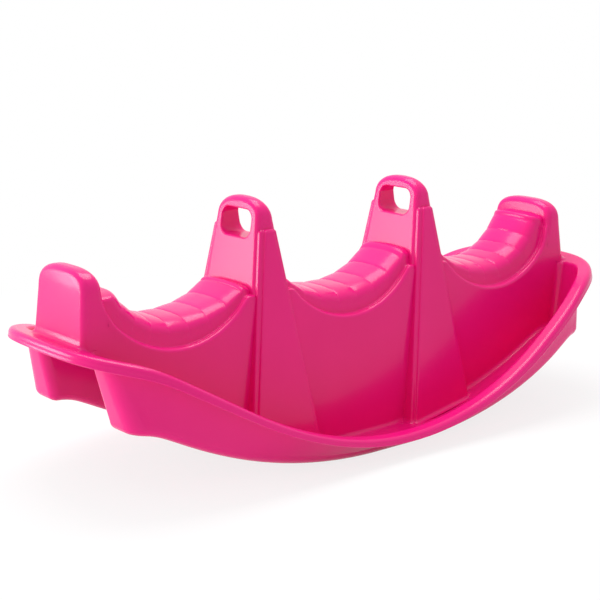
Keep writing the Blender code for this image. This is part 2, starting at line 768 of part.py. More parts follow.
def build():
    for thing in list(bpy.data.objects):
        bpy.data.objects.remove(thing, do_unlink=True)
    seam = POST_X
    for label, side in (("left", 1), ("right", -1)):
        foot_well("foot_well_front_" + label, side, None, -seam - GAP / 2)
        foot_well("foot_well_middle_" + label, side, -seam + GAP / 2, seam - GAP / 2)
        foot_well("foot_well_rear_" + label, side, seam + GAP / 2, None)
        saddle_wall("saddle_wall_" + label, side)
        buttress("buttress_front_" + label, -POST_X, side)
        buttress("buttress_rear_" + label, POST_X, side)
    gunwale()
    handle_post("handle_post_front", -POST_X)
    handle_post("handle_post_rear", POST_X)
    end_block("end_block_front", -1)
    end_block("end_block_rear", 1)
    middle_face = lambda z: POST_X - post_face(z)
    outer_face = lambda z: POST_X + post_face(z)
    post_bead = POST_BASE + BEAD_LIFT
    seat_pad("seat_pad_middle", 0.0, (middle_face, middle_face),
             (PAD_END_AT_POST, PAD_END_AT_POST), (post_bead, post_bead))
    seat_pad("seat_pad_front", -SEAT_PITCH, (block_face_inner, lambda z: -outer_face(z)),
             (PAD_END_AT_BLOCK, PAD_END_AT_POST), (BEAD_END_AT_BLOCK, post_bead))
    seat_pad("seat_pad_rear", SEAT_PITCH, (lambda z: -outer_face(z), block_face_inner),
             (PAD_END_AT_POST, PAD_END_AT_BLOCK), (post_bead, BEAD_END_AT_BLOCK))


build()
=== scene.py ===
# %% [markdown]
# # A rocking boat for three children
# The real toy is one glossy pink moulding. A ridge down the middle carries three quilted
# saddle seats and two handle posts, and the foot wells on both sides are runners
# underneath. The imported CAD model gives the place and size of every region. This lesson
# builds the same regions again with fine surfaces and true fillets, so that light runs
# over them as it does over a moulding.

# %% Load the frame
from functools import partial, partialmethod
from math import acos, atan2, ceil, copysign, cos, exp, hypot, log1p, pi, radians, sin, sqrt, tan

import bmesh
import bpy
import numpy as np
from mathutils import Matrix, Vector


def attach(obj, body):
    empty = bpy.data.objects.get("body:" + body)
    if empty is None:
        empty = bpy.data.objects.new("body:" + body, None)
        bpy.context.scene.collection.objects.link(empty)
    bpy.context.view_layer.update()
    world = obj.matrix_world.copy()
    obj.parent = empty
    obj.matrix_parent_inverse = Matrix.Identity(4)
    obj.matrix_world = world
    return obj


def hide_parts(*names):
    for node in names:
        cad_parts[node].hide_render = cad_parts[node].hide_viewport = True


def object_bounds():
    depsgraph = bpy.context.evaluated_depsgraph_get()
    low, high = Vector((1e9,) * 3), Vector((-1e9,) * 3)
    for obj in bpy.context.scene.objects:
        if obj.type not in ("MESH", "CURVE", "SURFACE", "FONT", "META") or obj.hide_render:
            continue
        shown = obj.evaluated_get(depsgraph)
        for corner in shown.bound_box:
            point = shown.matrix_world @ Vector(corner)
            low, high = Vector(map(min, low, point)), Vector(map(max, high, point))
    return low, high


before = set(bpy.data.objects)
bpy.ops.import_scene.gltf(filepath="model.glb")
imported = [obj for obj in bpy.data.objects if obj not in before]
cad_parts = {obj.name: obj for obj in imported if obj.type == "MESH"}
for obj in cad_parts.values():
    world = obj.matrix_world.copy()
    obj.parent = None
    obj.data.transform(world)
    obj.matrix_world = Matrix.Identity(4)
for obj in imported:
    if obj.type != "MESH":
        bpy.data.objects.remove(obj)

cad_low, cad_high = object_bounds()
print("CAD box", [round(v, 4) for v in cad_low], [round(v, 4) for v in cad_high])

# %% [markdown]
# ## Sizes
# A moulding is ruled by a few curves, and every region borrows them: the plan of the rim,
# its rise towards the noses, the rocking arc underneath and the lean of the ridge. They
# are written once here, in metres, so that neighbours always meet. The three overall
# sizes come straight from the frame.

# %% The boat's main sizes
HALF_LENGTH = round(cad_high.x, 4)
HALF_BEAM = round(cad_high.y, 4)
POST_TOP = round(cad_high.z, 4)
WALL = 0.0036  # thickness of the plastic
PLAN_FULLNESS_X = 3.3  # powers of the rim's rounded plan
PLAN_FULLNESS_Y = 3.4

RIM_HEIGHT = 0.0345
SHEER_RADIUS = 0.466
SHEER_SLOPE = 0.586
NOSE_BEND = 0.376  # the rise eases off between these two stations
NOSE_LEVEL = 0.426
NOSE_SLOPE = 0.268
RIM_WIDTH = 0.0242  # rim's edge to the mouth of a well
RIM_ROUND = 0.010
ROCKER_RADIUS = 0.72
REST_LAND = 0.030  # half of the short flat that the boat stands on
FOOT_HEIGHT = 0.098  # level foot at the end of each runner
FOOT_BLEND = 0.006
RIDGE_HALF_AT_FLOOR = 0.0795
RIDGE_TAPER = 0.075

SEAT_PITCH = 0.300
SEAT_LOW = 0.173  # lowest point of a seat's edge
SEAT_RADIUS = 0.148  # radius of that edge, seen from the side
SEAT_AXIS = SEAT_LOW + SEAT_RADIUS
RIDGE_END = 0.4103  # the side walls meet the end blocks here
BLOCK_FACE = 0.456
POST_HALF_THICKNESS = 0.0170  # of a handle post, at the height on the next line
POST_THIN = 0.322
POST_LEAN = 0.158  # how fast a post's faces lean out below that height
print("length", 2 * HALF_LENGTH, "beam", 2 * HALF_BEAM, "height", POST_TOP)


# %% Curves that every region shares
def sheer(x):
    """Height of the rim's top: an arc amidships, a straight rise, and a flatter nose."""
    distance = abs(x)
    arc = min(distance, SHEER_RADIUS * SHEER_SLOPE)
    height = RIM_HEIGHT + arc ** 2 / (2 * SHEER_RADIUS) + (distance - arc) * SHEER_SLOPE
    past = max(distance - NOSE_BEND, 0.0)
    bend = NOSE_LEVEL - NOSE_BEND
    easing = min(past, bend) ** 2 / (2 * bend) + max(past - bend, 0.0)
    return height - (SHEER_SLOPE - NOSE_SLOPE) * easing


def rocker(x):
    """Height of a runner's underside: short flat, rocking arc, level foot."""
    distance = max(abs(x) - REST_LAND, 0.0)
    arc = ROCKER_RADIUS - sqrt(ROCKER_RADIUS ** 2 - distance ** 2)
    sharp = (arc - FOOT_HEIGHT) / FOOT_BLEND
    return arc if sharp < -30 else arc - FOOT_BLEND * log1p(exp(sharp))


def ridge_half(z):
    """Half width of the ridge at a height. Its sides are flat and lean inwards."""
    return RIDGE_HALF_AT_FLOOR - RIDGE_TAPER * z


def mix(a, b, share):
    return a + (b - a) * share


def ease(value, start=0.0, end=1.0):
    """Smooth step from 0 at start to 1 at end."""
    share = min(max((value - start) / (end - start), 0.0), 1.0)
    return share * share * (3 - 2 * share)


def quarter(steps, first=0):
    """A quarter turn in steps, as pairs: one share grows from 0 to 1, the other shrinks."""
    turns = [pi / 2 * k / steps for k in range(first, steps + 1)]
    return [(1 - cos(turn), 1 - sin(turn)) for turn in turns]


def squared(turn, fullness_x, fullness_y):
    """Point of a squared-off circle at an angle. A fullness of 2 gives a true circle."""
    c, s = cos(turn), sin(turn)
    return (copysign(abs(c) ** (2 / fullness_x), c), copysign(abs(s) ** (2 / fullness_y), s))


def squared_arc(turn, steps, fullness):
    return [squared(turn * k / steps, fullness, fullness) for k in range(steps + 1)]


def mirrored(points):
    """The points on the other side of the boat, in the opposite order."""
    return [Vector((p.x, -p.y, p.z)) for p in reversed(points)]


print("rim rises from", sheer(0), "to", round(sheer(HALF_LENGTH), 4))

# %% The rim's plan and its inward offsets
PLAN_SAMPLES = 2000  # points of the plan that an offset is read from


def rim_point(turn):
    """Point of the rim's plan at an angle, with its outward direction."""
    c, s = squared(turn, PLAN_FULLNESS_X, PLAN_FULLNESS_Y)
    x, y = HALF_LENGTH * c, HALF_BEAM * s
    nx = copysign(abs(x / HALF_LENGTH) ** (PLAN_FULLNESS_X - 1), c) / HALF_LENGTH
    ny = copysign(abs(y / HALF_BEAM) ** (PLAN_FULLNESS_Y - 1), s) / HALF_BEAM
    return Vector((x, y)), Vector((nx, ny)).normalized()


def inset_curve(inset):
    """Half beam of the plan moved inwards, as a function of the station."""
    pairs = [rim_point(pi / 2 * k / PLAN_SAMPLES) for k in range(PLAN_SAMPLES, -1, -1)]
    points = [p - n * inset for p, n in pairs]
    xs = np.array([p.x for p in points])
    ys = np.array([p.y for p in points])
    order = np.argsort(xs, kind="stable")
    return lambda x: float(np.interp(abs(x), xs[order], ys[order]))


well_beam = inset_curve(RIM_WIDTH)
print("half beam of a well's mouth amidships", round(well_beam(0), 4))


# %% [markdown]
# ## From rows of points to a moulded skin
# Every region is first a single sheet: rows of points joined by four-sided faces. The
# Solidify modifier then gives the sheet the thickness of the plastic on its hidden side,
# as the gap in a mould does. This keeps the visible face exactly where the formulas put
# it, and a look from underneath shows a real wall.

# %% Sheet helpers
MERGE = 2e-6  # points nearer than this become one
SAME = 1e-7  # corners of a face nearer than this count as one


def add_row(bm, points):
    return [bm.verts.new(p) for p in points]


def join_rows(bm, row_a, row_b, closed=False):
    """Four-sided faces between two rows of the same count."""
    count = len(row_a)
    for i in range(count if closed else count - 1):
        j = (i + 1) % count
        corners = []
        for vertex in (row_a[i], row_a[j], row_b[j], row_b[i]):
            if all((vertex.co - other.co).length > SAME for other in corners):
                corners.append(vertex)
        if len(corners) > 2:
            bm.faces.new(corners)


def add_rows(bm, rows, closed=False):
    """Rows of points, each joined to the next."""
    made = [add_row(bm, row) for row in rows]
    for a, b in zip(made, made[1:]):
        join_rows(bm, a, b, closed)
    return made


def rungs(bm, ring, shift=0):
    """Fill a ring with rungs between its two sides. The first point is a tip. With a
    shift of 1 it isn't, and the first rung joins it to the last point."""
    for i in range(len(ring) // 2):
        numbers = (i, i + 1, -i - 1 - shift, -i - shift)
        corners = list(dict.fromkeys(ring[k % len(ring)] for k in numbers))
        if len(corners) > 2:
            bm.faces.new(corners)


def add_object(name, data):
    made = bpy.data.objects.new(name, data)
    bpy.context.scene.collection.objects.link(made)
    return made


def settle(piece):
    """Replace a piece's mesh with what its modifiers make of it."""
    graph = bpy.context.evaluated_depsgraph_get()
    made = bpy.data.meshes.new_from_object(piece.evaluated_get(graph))
    piece.modifiers.clear()
    piece.data = made


def make_piece(name, bm, outward=lambda p: Vector((0, 0, 1)), wall=WALL, crease=38):
    """Turn a sheet into a named piece with its visible side outwards and a wall behind it."""
    bmesh.ops.remove_doubles(bm, verts=bm.verts, dist=MERGE)
    bmesh.ops.dissolve_degenerate(bm, edges=bm.edges, dist=SAME)
    bmesh.ops.recalc_face_normals(bm, faces=bm.faces)
    bm.normal_update()
    facing = sum(face.normal.dot(outward(face.calc_center_median())) * face.calc_area()
                 for face in bm.faces)
    if facing < 0:
        bmesh.ops.reverse_faces(bm, faces=bm.faces)
    mesh = bpy.data.meshes.new(name)
    bm.to_mesh(mesh)
    bm.free()
    piece = add_object(name, mesh)
    if wall:
        skin = piece.modifiers.new("wall", "SOLIDIFY")
        skin.thickness = wall
        skin.offset = -1
        settle(piece)
    piece.data.shade_smooth()
    piece.data.set_sharp_from_angle(angle=radians(crease))
    print(name, len(piece.data.polygons), "faces")
    return piece


# %% [markdown]
# ## The plastic
# The toy is coloured right through, so one material covers it all. A flat colour would
# look like paint on a screen. A moulding has a faint drift of colour where the melt
# flowed, a fine orange-peel texture that softens reflections, and a harder, clearer skin
# on top. Noise on Object coordinates gives the first two, so that they run on from one
# region to the next, and the shader's coat gives the last.

# %% A short way to write nodes
def wire(tree, node, inputs):
    """Fill inputs with values, or with links from other nodes' sockets."""
    for name, value in inputs.items():
        if isinstance(value, bpy.types.NodeSocket):
            tree.links.new(value, node.inputs[name])
        else:
            node.inputs[name].default_value = value
    return node.outputs


def add_node(tree, kind, inputs={}, **settings):
    """Add a node, fill its inputs and return its outputs."""
    node = tree.nodes.new(kind)
    for name, value in settings.items():
        setattr(node, name, value)
    return wire(tree, node, inputs)


# %% Glossy pink plastic
def pink_plastic():
    material = bpy.data.materials.new("glossy_pink_plastic")
    material.use_nodes = True
    tree = material.node_tree
    add = partial(add_node, tree)
    place = add("ShaderNodeTexCoord")["Object"]

    def noise(scale, detail):
        return add("ShaderNodeTexNoise",
                   {"Scale": scale, "Detail": detail, "Vector": place})["Fac"]

    flow = tree.nodes.new("ShaderNodeValToRGB")
    dark, bright = flow.color_ramp.elements
    dark.position, dark.color = 0.30, (0.780, 0.005, 0.190, 1)
    bright.position, bright.color = 0.72, (0.820, 0.007, 0.208, 1)
    colour = wire(tree, flow, {"Fac": noise(7.0, 3.0)})
    gloss = add("ShaderNodeMapRange",
                {"To Min": 0.23, "To Max": 0.28, "Value": noise(60.0, 4.0)})
    peel = add("ShaderNodeBump",
               {"Strength": 0.04, "Distance": 0.0003, "Height": noise(420.0, 2.0)})
    wire(tree, tree.nodes["Principled BSDF"],
         {"Base Color": colour["Color"], "Roughness": gloss["Result"],
          "Normal": peel["Normal"], "IOR": 1.49, "Specular IOR Level": 0.22,
          "Coat Weight": 0.14, "Coat Roughness": 0.10})
    return material


PLASTIC = pink_plastic()
print("material", PLASTIC.name)


def declare(piece, *nodes):
    """Give the piece its finish if it has none, attach it to the root body, and hide the CAD
    nodes that it stands for.
    """
    if not piece.data.materials:
        piece.data.materials.append(PLASTIC)
    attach(piece, "root")
    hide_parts(*nodes)
    return piece


# %% [markdown]
# ## Foot wells
# A well is a tub for the feet. Its floor is also the runner that rocks, so the same sheet
# is seen from above and from below. The sheet is a stack of closed loops, all with the
# same count: a narrow flat flange in the deck, a rolled edge, the leaning wall, the floor
# fillet, and rungs across the floor. The roll fades out on the ridge side, where the
# wall simply carries on upwards.

# %% Sizes of a well
WELL_END_TOP = BLOCK_FACE - 0.009
WELL_END_FLOOR = WELL_END_TOP - 0.023
KEEL_BEAM = HALF_BEAM - RIM_WIDTH - 0.0218
WELL_CORNER_TOP = 0.034
WELL_CORNER_FLOOR = 0.028
WELL_INNER_CORNER = 0.010
WELL_FILLET = 0.008
WELL_ROLL = 0.0042  # radius of the rolled edge
FLANGE = 0.0015  # flat strip beside a roll or fillet, where regions meet
CORNER_STEPS = 12
ARC_STEPS = 7
WALL_LOOPS = 10  # bands of a well's wall between the roll and the fillet
TANGENT_STEP = 0.004  # step back along the side that gives a corner its direction


def keel_beam(x):
    """Outer edge of the runner's underside."""
    return KEEL_BEAM * (1 - (abs(x) / HALF_LENGTH) ** 5) ** (1 / PLAN_FULLNESS_Y)


# %% Stations along the ridge, shared by wells, side walls and blocks
STATION_STEP = 0.0055


def post_face(z):
    """Half thickness of a handle post at a height."""
    return POST_HALF_THICKNESS + POST_LEAN * (POST_THIN - z)


def seat_arc(distance):
    """Height of a seat's edge at a distance from the seat's middle."""
    return SEAT_AXIS - sqrt(SEAT_RADIUS ** 2 - distance ** 2)


POST_X = SEAT_PITCH / 2
POST_FOOT = 0.2317  # first guess of where a post's face meets the seat's edge
for _ in range(20):
    POST_FOOT = seat_arc(POST_X - post_face(POST_FOOT))
POST_NEAR = POST_X - post_face(POST_FOOT)
POST_FAR = POST_X + post_face(POST_FOOT)
POSTS = (("front", -POST_X), ("rear", POST_X))
SIDES = (("left", 1), ("right", -1))


def spread(stops, step):
    """Stations from the first stop to the last, no further apart than step."""
    stations = [stops[0]]
    for a, b in zip(stops, stops[1:]):
        count = max(1, ceil(abs(b - a) / step))
        stations += [mix(a, b, (k + 1) / count) for k in range(count)]
    return stations


WELL_TANGENT = WELL_END_TOP - WELL_INNER_CORNER
half_stops = [WELL_TANGENT, RIDGE_END, POST_FAR, POST_NEAR]
RIDGE_STATIONS = spread(half_stops + [-x for x in reversed(half_stops)], STATION_STEP)
print(len(RIDGE_STATIONS), "stations along the ridge, posts stand at", round(POST_FOOT, 4))


# %% Plan loop of a well
def round_corner(before, corner, after, radius):
    """Points of an arc that rounds a plan corner."""
    to_before = (before - corner).normalized()
    to_after = (after - corner).normalized()
    half = acos(max(-1.0, min(1.0, to_before.dot(to_after)))) / 2
    reach = radius / tan(half)
    centre = corner + (to_before + to_after).normalized() * (radius / sin(half))
    start = corner + to_before * reach - centre
    sweep = -start.angle_signed(corner + to_after * reach - centre)
    arc = []
    for k in range(CORNER_STEPS + 1):
        c, s = cos(sweep * k / CORNER_STEPS), sin(sweep * k / CORNER_STEPS)
        arc.append(centre + Vector((start.x * c - start.y * s, start.x * s + start.y * c)))
    return arc


def flip(points):
    return [Vector((-p.x, p.y)) for p in reversed(points)]


def well_loop(end, inner, outer, corner, grow=0.0):
    """Plan loop from the front end, along the outer side, round the rear, back by the ridge."""
    reach = end + grow
    inner_y = inner(reach) - grow
    slope_point = Vector((reach - TANGENT_STEP, outer(reach - TANGENT_STEP) + grow))
    outer_corner = Vector((reach, outer(reach) + grow))
    middle = Vector((reach, (inner_y + outer_corner.y) / 2))
    outer_arc = round_corner(slope_point, outer_corner, middle, corner + grow)
    inner_arc = round_corner(middle, Vector((reach, inner_y)), Vector((0, inner_y)),
                             WELL_INNER_CORNER + grow)
    shares = [x / RIDGE_STATIONS[0] for x in RIDGE_STATIONS[1:-1]]
    side = [Vector((-outer_arc[0].x * s, outer(outer_arc[0].x * s) + grow)) for s in shares]
    back = [Vector((inner_arc[-1].x * s, inner(inner_arc[-1].x * s) - grow)) for s in shares]
    return (flip([middle]) + flip(outer_arc) + side + outer_arc + [middle]
            + inner_arc + back + flip(inner_arc))


def mouth_loop(grow=0.0):
    return well_loop(WELL_END_TOP, lambda x: ridge_half(sheer(x)), well_beam,
                     WELL_CORNER_TOP, grow)


MOUTH = mouth_loop()
# How much of the rolled edge each point of a loop has: none along the ridge.
along = len(RIDGE_STATIONS) - 2
fade = [ease(1 - k / CORNER_STEPS) for k in range(CORNER_STEPS + 1)]
ROLL_SHARE = [1.0] * (2 * len(fade) + along + 2) + fade + [0.0] * along + fade[::-1]
print("a well's loop has", len(MOUTH), "points and", len(ROLL_SHARE), "weights")


# %% The levels of a well, from flange to floor
def floor_height(x):
    """Floor of a well: the runner's underside and the thickness of the plastic."""
    return rocker(x) + WALL


def mouth_level(lows, offset, depth):
    """One loop near the mouth: moved out over the deck by offset, down the wall by depth."""
    level = []
    for top, far, low, share in zip(MOUTH, mouth_loop(offset), lows, ROLL_SHARE):
        height = sheer(top.x)
        down = depth / (height - low.z)
        over = (far - top) * share
        x = mix(top.x, low.x, down) + over.x
        y = mix(top.y, low.y, down) + over.y
        z = mix(height, low.z, down) + sheer(top.x + over.x) - height
        level.append(Vector((x, y, z)))
    return level


def well_levels():
    fillet = []
    for inset, rise in quarter(ARC_STEPS):
        loop = well_loop(WELL_END_FLOOR, lambda x: ridge_half(floor_height(x) + WELL_FILLET),
                         keel_beam, WELL_CORNER_FLOOR, -WELL_FILLET * inset)
        fillet.append([Vector((p.x, p.y, floor_height(p.x) + WELL_FILLET * rise))
                       for p in loop])
    lows = fillet[0]
    levels = [mouth_level(lows, WELL_ROLL + FLANGE, 0.0)]
    levels += [mouth_level(lows, WELL_ROLL * out, WELL_ROLL * down)
               for down, out in quarter(ARC_STEPS)]
    rolled = levels[-1]
    levels += [[a.lerp(b, k / WALL_LOOPS) for a, b in zip(rolled, lows)]
               for k in range(1, WALL_LOOPS)]
    return levels + fillet


WELL_LEVELS = well_levels()
print(len(WELL_LEVELS), "loops deep")


# %% Make both wells
for label, side in SIDES:
    bm = bmesh.new()
    levels = [[(p.x, side * p.y, p.z) for p in level] for level in WELL_LEVELS]
    rungs(bm, add_rows(bm, levels, closed=True)[-1])
    nodes = [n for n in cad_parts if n.startswith("foot_well") and n.endswith(label)]
    declare(make_piece("runner_well_" + label, bm), *nodes)


# %% [markdown]
# ## End blocks
# A block is an upright box that closes the ridge and backs the rider. Its outline is seen
# from the end: leaning sides under one convex curve, half of a squared-off ellipse. It
# runs through a rolled edge into the leaning faces. At the bottom the outer face flares
# into the deck. A curve with its control point in the corner is tangent to both, so it
# makes that fillet, and it shrinks to nothing where the block's side runs straight down
# into a well.

# %% Sizes of a block
BLOCK_TOP = 0.302
BLOCK_ARCH = 0.036  # height of the curve over the shoulders
BLOCK_FULLNESS = 3.0
BLOCK_EDGE = 0.010
BLOCK_LEAN = 0.085
BLOCK_FOOT = 0.0110  # reach of the fillet along the face and the deck
SHELF_HEIGHT = 0.243  # the seat's ledge ends against the block about here
EDGE_FROM = SHELF_HEIGHT - 0.008  # the seat side's rolled edge grows between these two
EDGE_FULL = 0.268
SIDE_POINTS = 26  # of a block's outline below the shoulder, and over the arch
ARCH_POINTS = 20
DECK_AT_BLOCK = sheer(BLOCK_FACE)


def block_inner(z):
    """Seat side of a block, as a distance from the middle of the boat."""
    return RIDGE_END + BLOCK_LEAN * max(z - SEAT_LOW, 0.0)


def block_outer(z):
    """Outer face of a block, measured in the same way."""
    return BLOCK_FACE - BLOCK_LEAN * max(z - DECK_AT_BLOCK, 0.0)


# %% Rings of a block, from its outer face through to its seat side
def block_outline(foot, inset):
    """Half outline seen from the end, from the foot at a height up to the crown."""
    shoulder = BLOCK_TOP - BLOCK_ARCH
    half = ridge_half(shoulder)
    heights = [mix(foot, shoulder, k / SIDE_POINTS) for k in range(SIDE_POINTS)]
    points = [(ridge_half(z) - inset, z) for z in heights]
    for c, s in squared_arc(pi / 2, ARCH_POINTS, BLOCK_FULLNESS):
        out = Vector((c ** (BLOCK_FULLNESS - 1) / half,
                      s ** (BLOCK_FULLNESS - 1) / BLOCK_ARCH)).normalized()
        points.append((max(half * c - out.x * inset, 0.0),
                       shoulder + BLOCK_ARCH * s - out.y * inset))
    points[-1] = (0.0, points[-1][1])
    return points


def block_ring(hand, theta, outer, share=None):
    """A ring of the rolled edge: theta is 0 on the side and a quarter turn on the face.
    With a share it is a ring of the plain side, between the two rolled edges."""
    inset, depth = 1 - cos(theta), 1 - sin(theta)

    def edge_at(z):
        return BLOCK_EDGE if outer else BLOCK_EDGE * ease(z, EDGE_FROM, EDGE_FULL)

    def station(z):
        if share is not None:
            return mix(block_inner(z) + BLOCK_EDGE, block_outer(z) - BLOCK_EDGE, share)
        if outer:
            return block_outer(z) - BLOCK_EDGE * depth
        return block_inner(z) + edge_at(z) * depth

    foot_share = ease(sin(theta)) if outer and share is None else 0.0
    z = DECK_AT_BLOCK
    for _ in range(6):
        z = sheer(station(z)) + BLOCK_FOOT * foot_share
    ring = []
    for y, height in block_outline(z, BLOCK_EDGE * inset):
        y += (BLOCK_EDGE - edge_at(height)) * inset
        ring.append(Vector((hand * station(height), y, height)))
    return ring + mirrored(ring[:-1]), foot_share


def block_foot(ring, share, index, hand, theta):
    """Points of the foot fillet under one end of a ring, from the face out to the deck."""
    top = ring[index]
    up = (ring[1 if index == 0 else -2] - top).normalized()
    out = Vector((hand * sin(theta), copysign(cos(theta), top.y),
                  NOSE_SLOPE * sin(theta))).normalized()
    reach = BLOCK_FOOT * share
    corner = top - up * reach
    points = []
    for k in range(ARC_STEPS + 1):
        t = k / ARC_STEPS
        points.append(corner + up * reach * (1 - t) ** 2 + out * reach * t ** 2)
    points.append(corner + out * (reach + FLANGE * share))
    for p in points[-2:]:
        p.z = sheer(p.x)
    return points


def under_seat(face):
    """True for a face of the seat side that lies below the seat's ledge."""
    middle = face.calc_center_median()
    return (max(v.co.z for v in face.verts) < SHELF_HEIGHT - 0.004
            and all(abs(v.co.x) < block_inner(v.co.z) + 0.0002 for v in face.verts)
            and abs(middle.y) < ridge_half(middle.z) - 0.001)


print("block's deck line at", round(DECK_AT_BLOCK, 4))

# %% Make both blocks, and keep the line where their feet meet the deck
BLOCK_FEET = {}
for label, hand in (("front", -1), ("rear", 1)):
    bm = bmesh.new()
    rings, feet = [], []
    for k in range(ARC_STEPS + 1):
        theta = pi / 2 * (1 - k / ARC_STEPS)
        ring, share = block_ring(hand, theta, True)
        rings.append(ring)
        feet.append([block_foot(ring, share, index, hand, theta) for index in (0, -1)])
    rings += [block_ring(hand, 0.0, True, share)[0] for share in (0.75, 0.5, 0.25)]
    rings += [block_ring(hand, pi / 2 * k / ARC_STEPS, False)[0] for k in range(ARC_STEPS + 1)]
    made = add_rows(bm, rings)
    rungs(bm, made[0], shift=1)
    rungs(bm, made[-1], shift=1)
    foot_rows = [add_row(bm, left + right[::-1]) for left, right in feet]
    count = len(foot_rows[0]) // 2
    for a, b in zip(foot_rows, foot_rows[1:]):
        join_rows(bm, a[:count], b[:count])
        join_rows(bm, a[count:], b[count:])
    rungs(bm, foot_rows[0], shift=1)
    bmesh.ops.delete(bm, geom=[f for f in bm.faces if under_seat(f)], context="FACES")
    block_middle = Vector((hand * 0.43, 0, 0.2))
    declare(make_piece("end_upstand_" + label, bm, lambda p: p - block_middle),
            "end_block_" + label)
    BLOCK_FEET[hand] = [left[-1] for left, _ in feet]

# %% [markdown]
# ## Rim and decks
# The rim runs all the way round the boat: a turned-down lip with a slightly flared lower
# edge, a rolled shoulder and a flat band. Its plan is a squared-off ellipse that rises
# towards the noses. Each station of the plan is one row of the section. The flat band
# ends exactly on the flange of a well, and the two nose decks, which are flat, are filled
# between their borders.

# %% Section of the rim
LIP_DROP_MIDDLE = 0.011
LIP_DROP_END = 0.0155
LIP_TUCK = 0.0010  # the lip's face stands this far inside its flared edge
# The flared edge: offset inwards from the plan, and height over the lip's lowest line.
LIP_EDGE = ((0.0016, 0.0), (0.0005, 0.0004), (0.0, 0.0013), (0.0002, 0.0024),
            (LIP_TUCK, 0.0046))
ROUND_STEPS = 10


def rim_section(x):
    """Offsets inwards from the plan and heights over the sheer, lip first."""
    drop = mix(LIP_DROP_MIDDLE, LIP_DROP_END, ease(abs(x), 0.12, 0.42))
    points = [(offset, height - drop) for offset, height in LIP_EDGE]
    low = points[-1][1]
    high = -RIM_ROUND + 0.0005
    if high > low + 0.001:
        points += [(LIP_TUCK, mix(low, high, k / 3)) for k in (1, 2, 3)]
    else:
        points += [(LIP_TUCK, low + 0.0002 * k) for k in (1, 2, 3)]
    start = points[-1][1]
    points += [(mix(LIP_TUCK, RIM_ROUND, out), start * down)
               for out, down in quarter(ROUND_STEPS, 1)]
    return points + [(RIM_ROUND + FLANGE, 0.0)]


print("points in the rim's section", len(rim_section(0.3)))


# %% Stations of the rim that face the wells' flanges
def plan_turn(point):
    """Angle of the plan point whose inward direction passes nearest to a point."""
    turn = atan2(point.y / HALF_BEAM, point.x / HALF_LENGTH)

    def away(guess):
        p, n = rim_point(guess)
        return abs((point.xy - p).cross(n))

    return min((turn + 0.006 * k for k in range(-60, 61)), key=away)


FLANGE_LOOP = WELL_LEVELS[0]
corner_points = 1 + CORNER_STEPS
last_side = corner_points + len(RIDGE_STATIONS) - 1
BAND = FLANGE_LOOP[corner_points:last_side + 1]
FLANGE_END = FLANGE_LOOP[last_side + 1:last_side + 1 + 2 * corner_points]
band_turns = [plan_turn(p) for p in BAND]
print("rim band has", len(BAND), "stations, from", round(BAND[0].x, 3),
      "to", round(BAND[-1].x, 3))

# %% Make the rim and its bands
NOSE_STEPS = 90
nose_turns = [band_turns[-1] * (1 - 2 * k / NOSE_STEPS) for k in range(1, NOSE_STEPS)]
all_turns = (band_turns[::-1] + [pi - t for t in nose_turns]
             + [-t for t in band_turns] + [-t for t in nose_turns])
bm = bmesh.new()
columns = []
for turn in all_turns:
    p, n = rim_point(turn)
    points = [(p - n * offset, height) for offset, height in rim_section(p.x)]
    columns.append(add_row(bm, [(q.x, q.y, sheer(q.x) + height) for q, height in points]))
for column, following in zip(columns, columns[1:] + columns[:1]):
    join_rows(bm, column, following)
inner_edge = [column[-1] for column in columns]
band_count = len(BAND)
flange_rows = {}
for side, start, points in ((1, 0, BAND[::-1]), (-1, band_count + NOSE_STEPS - 1, BAND)):
    row = add_row(bm, [(p.x, side * p.y, p.z) for p in points])
    outer_row = inner_edge[start:start + band_count]
    middle_row = add_row(bm, [a.co.lerp(b.co, 0.5) for a, b in zip(outer_row, row)])
    join_rows(bm, outer_row, middle_row)
    join_rows(bm, middle_row, row)
    flange_rows[side] = (outer_row, middle_row, row)
print("rim of", len(columns), "columns")


# %% Fill the nose decks
def nose_border(hand):
    """Deck's inner border at one end, from the left band across the block to the right."""
    half = [Vector((hand * p.x, p.y, p.z)) for p in FLANGE_END] + BLOCK_FEET[hand][::-1]
    row = []
    for p in half + mirrored(half):
        if not row or (row[-1].co - p).length > 2e-5:
            row.append(bm.verts.new((p.x, p.y, sheer(p.x))))
    return row


for hand in (1, -1):
    if hand > 0:
        near, far, nose = 0, -1, inner_edge[2 * band_count + NOSE_STEPS - 1:]
    else:
        near, far, nose = -1, 0, inner_edge[band_count:band_count + NOSE_STEPS - 1][::-1]
    ring = ([row[near] for row in flange_rows[1]] + nose_border(hand)
            + [row[far] for row in reversed(flange_rows[-1])] + nose)
    edges = [bm.edges.get((a, b)) or bm.edges.new((a, b))
             for a, b in zip(ring, ring[1:] + ring[:1])]
    filled = bmesh.ops.triangle_fill(bm, edges=edges, use_beauty=True, use_dissolve=False,
                                     normal=(-hand * NOSE_SLOPE, 0, 1))
    faces = [made for made in filled["geom"] if isinstance(made, bmesh.types.BMFace)]
    print("nose deck", hand, len(faces), "faces")
declare(make_piece("rim_and_decks", bm), "gunwale")


# %% [markdown]
# ## Side walls of the ridge
# Between the wells and the seats the ridge has plain flat sides, scalloped along the top.
# Each wall is a sheet of upright columns that uses the wells' stations, so its lower edge
# falls on theirs point for point. All of it lies in one leaning plane with the wells'
# inner walls and the blocks' sides, so the joins don't show.

# %% Make the side walls
WALL_ROWS = 26


def wall_top(x):
    """Edge under the seats: three arcs, level where a post stands."""
    distance = abs(x)
    if distance > POST_FAR:
        return seat_arc(abs(distance - SEAT_PITCH))
    return POST_FOOT if distance > POST_NEAR else seat_arc(distance)


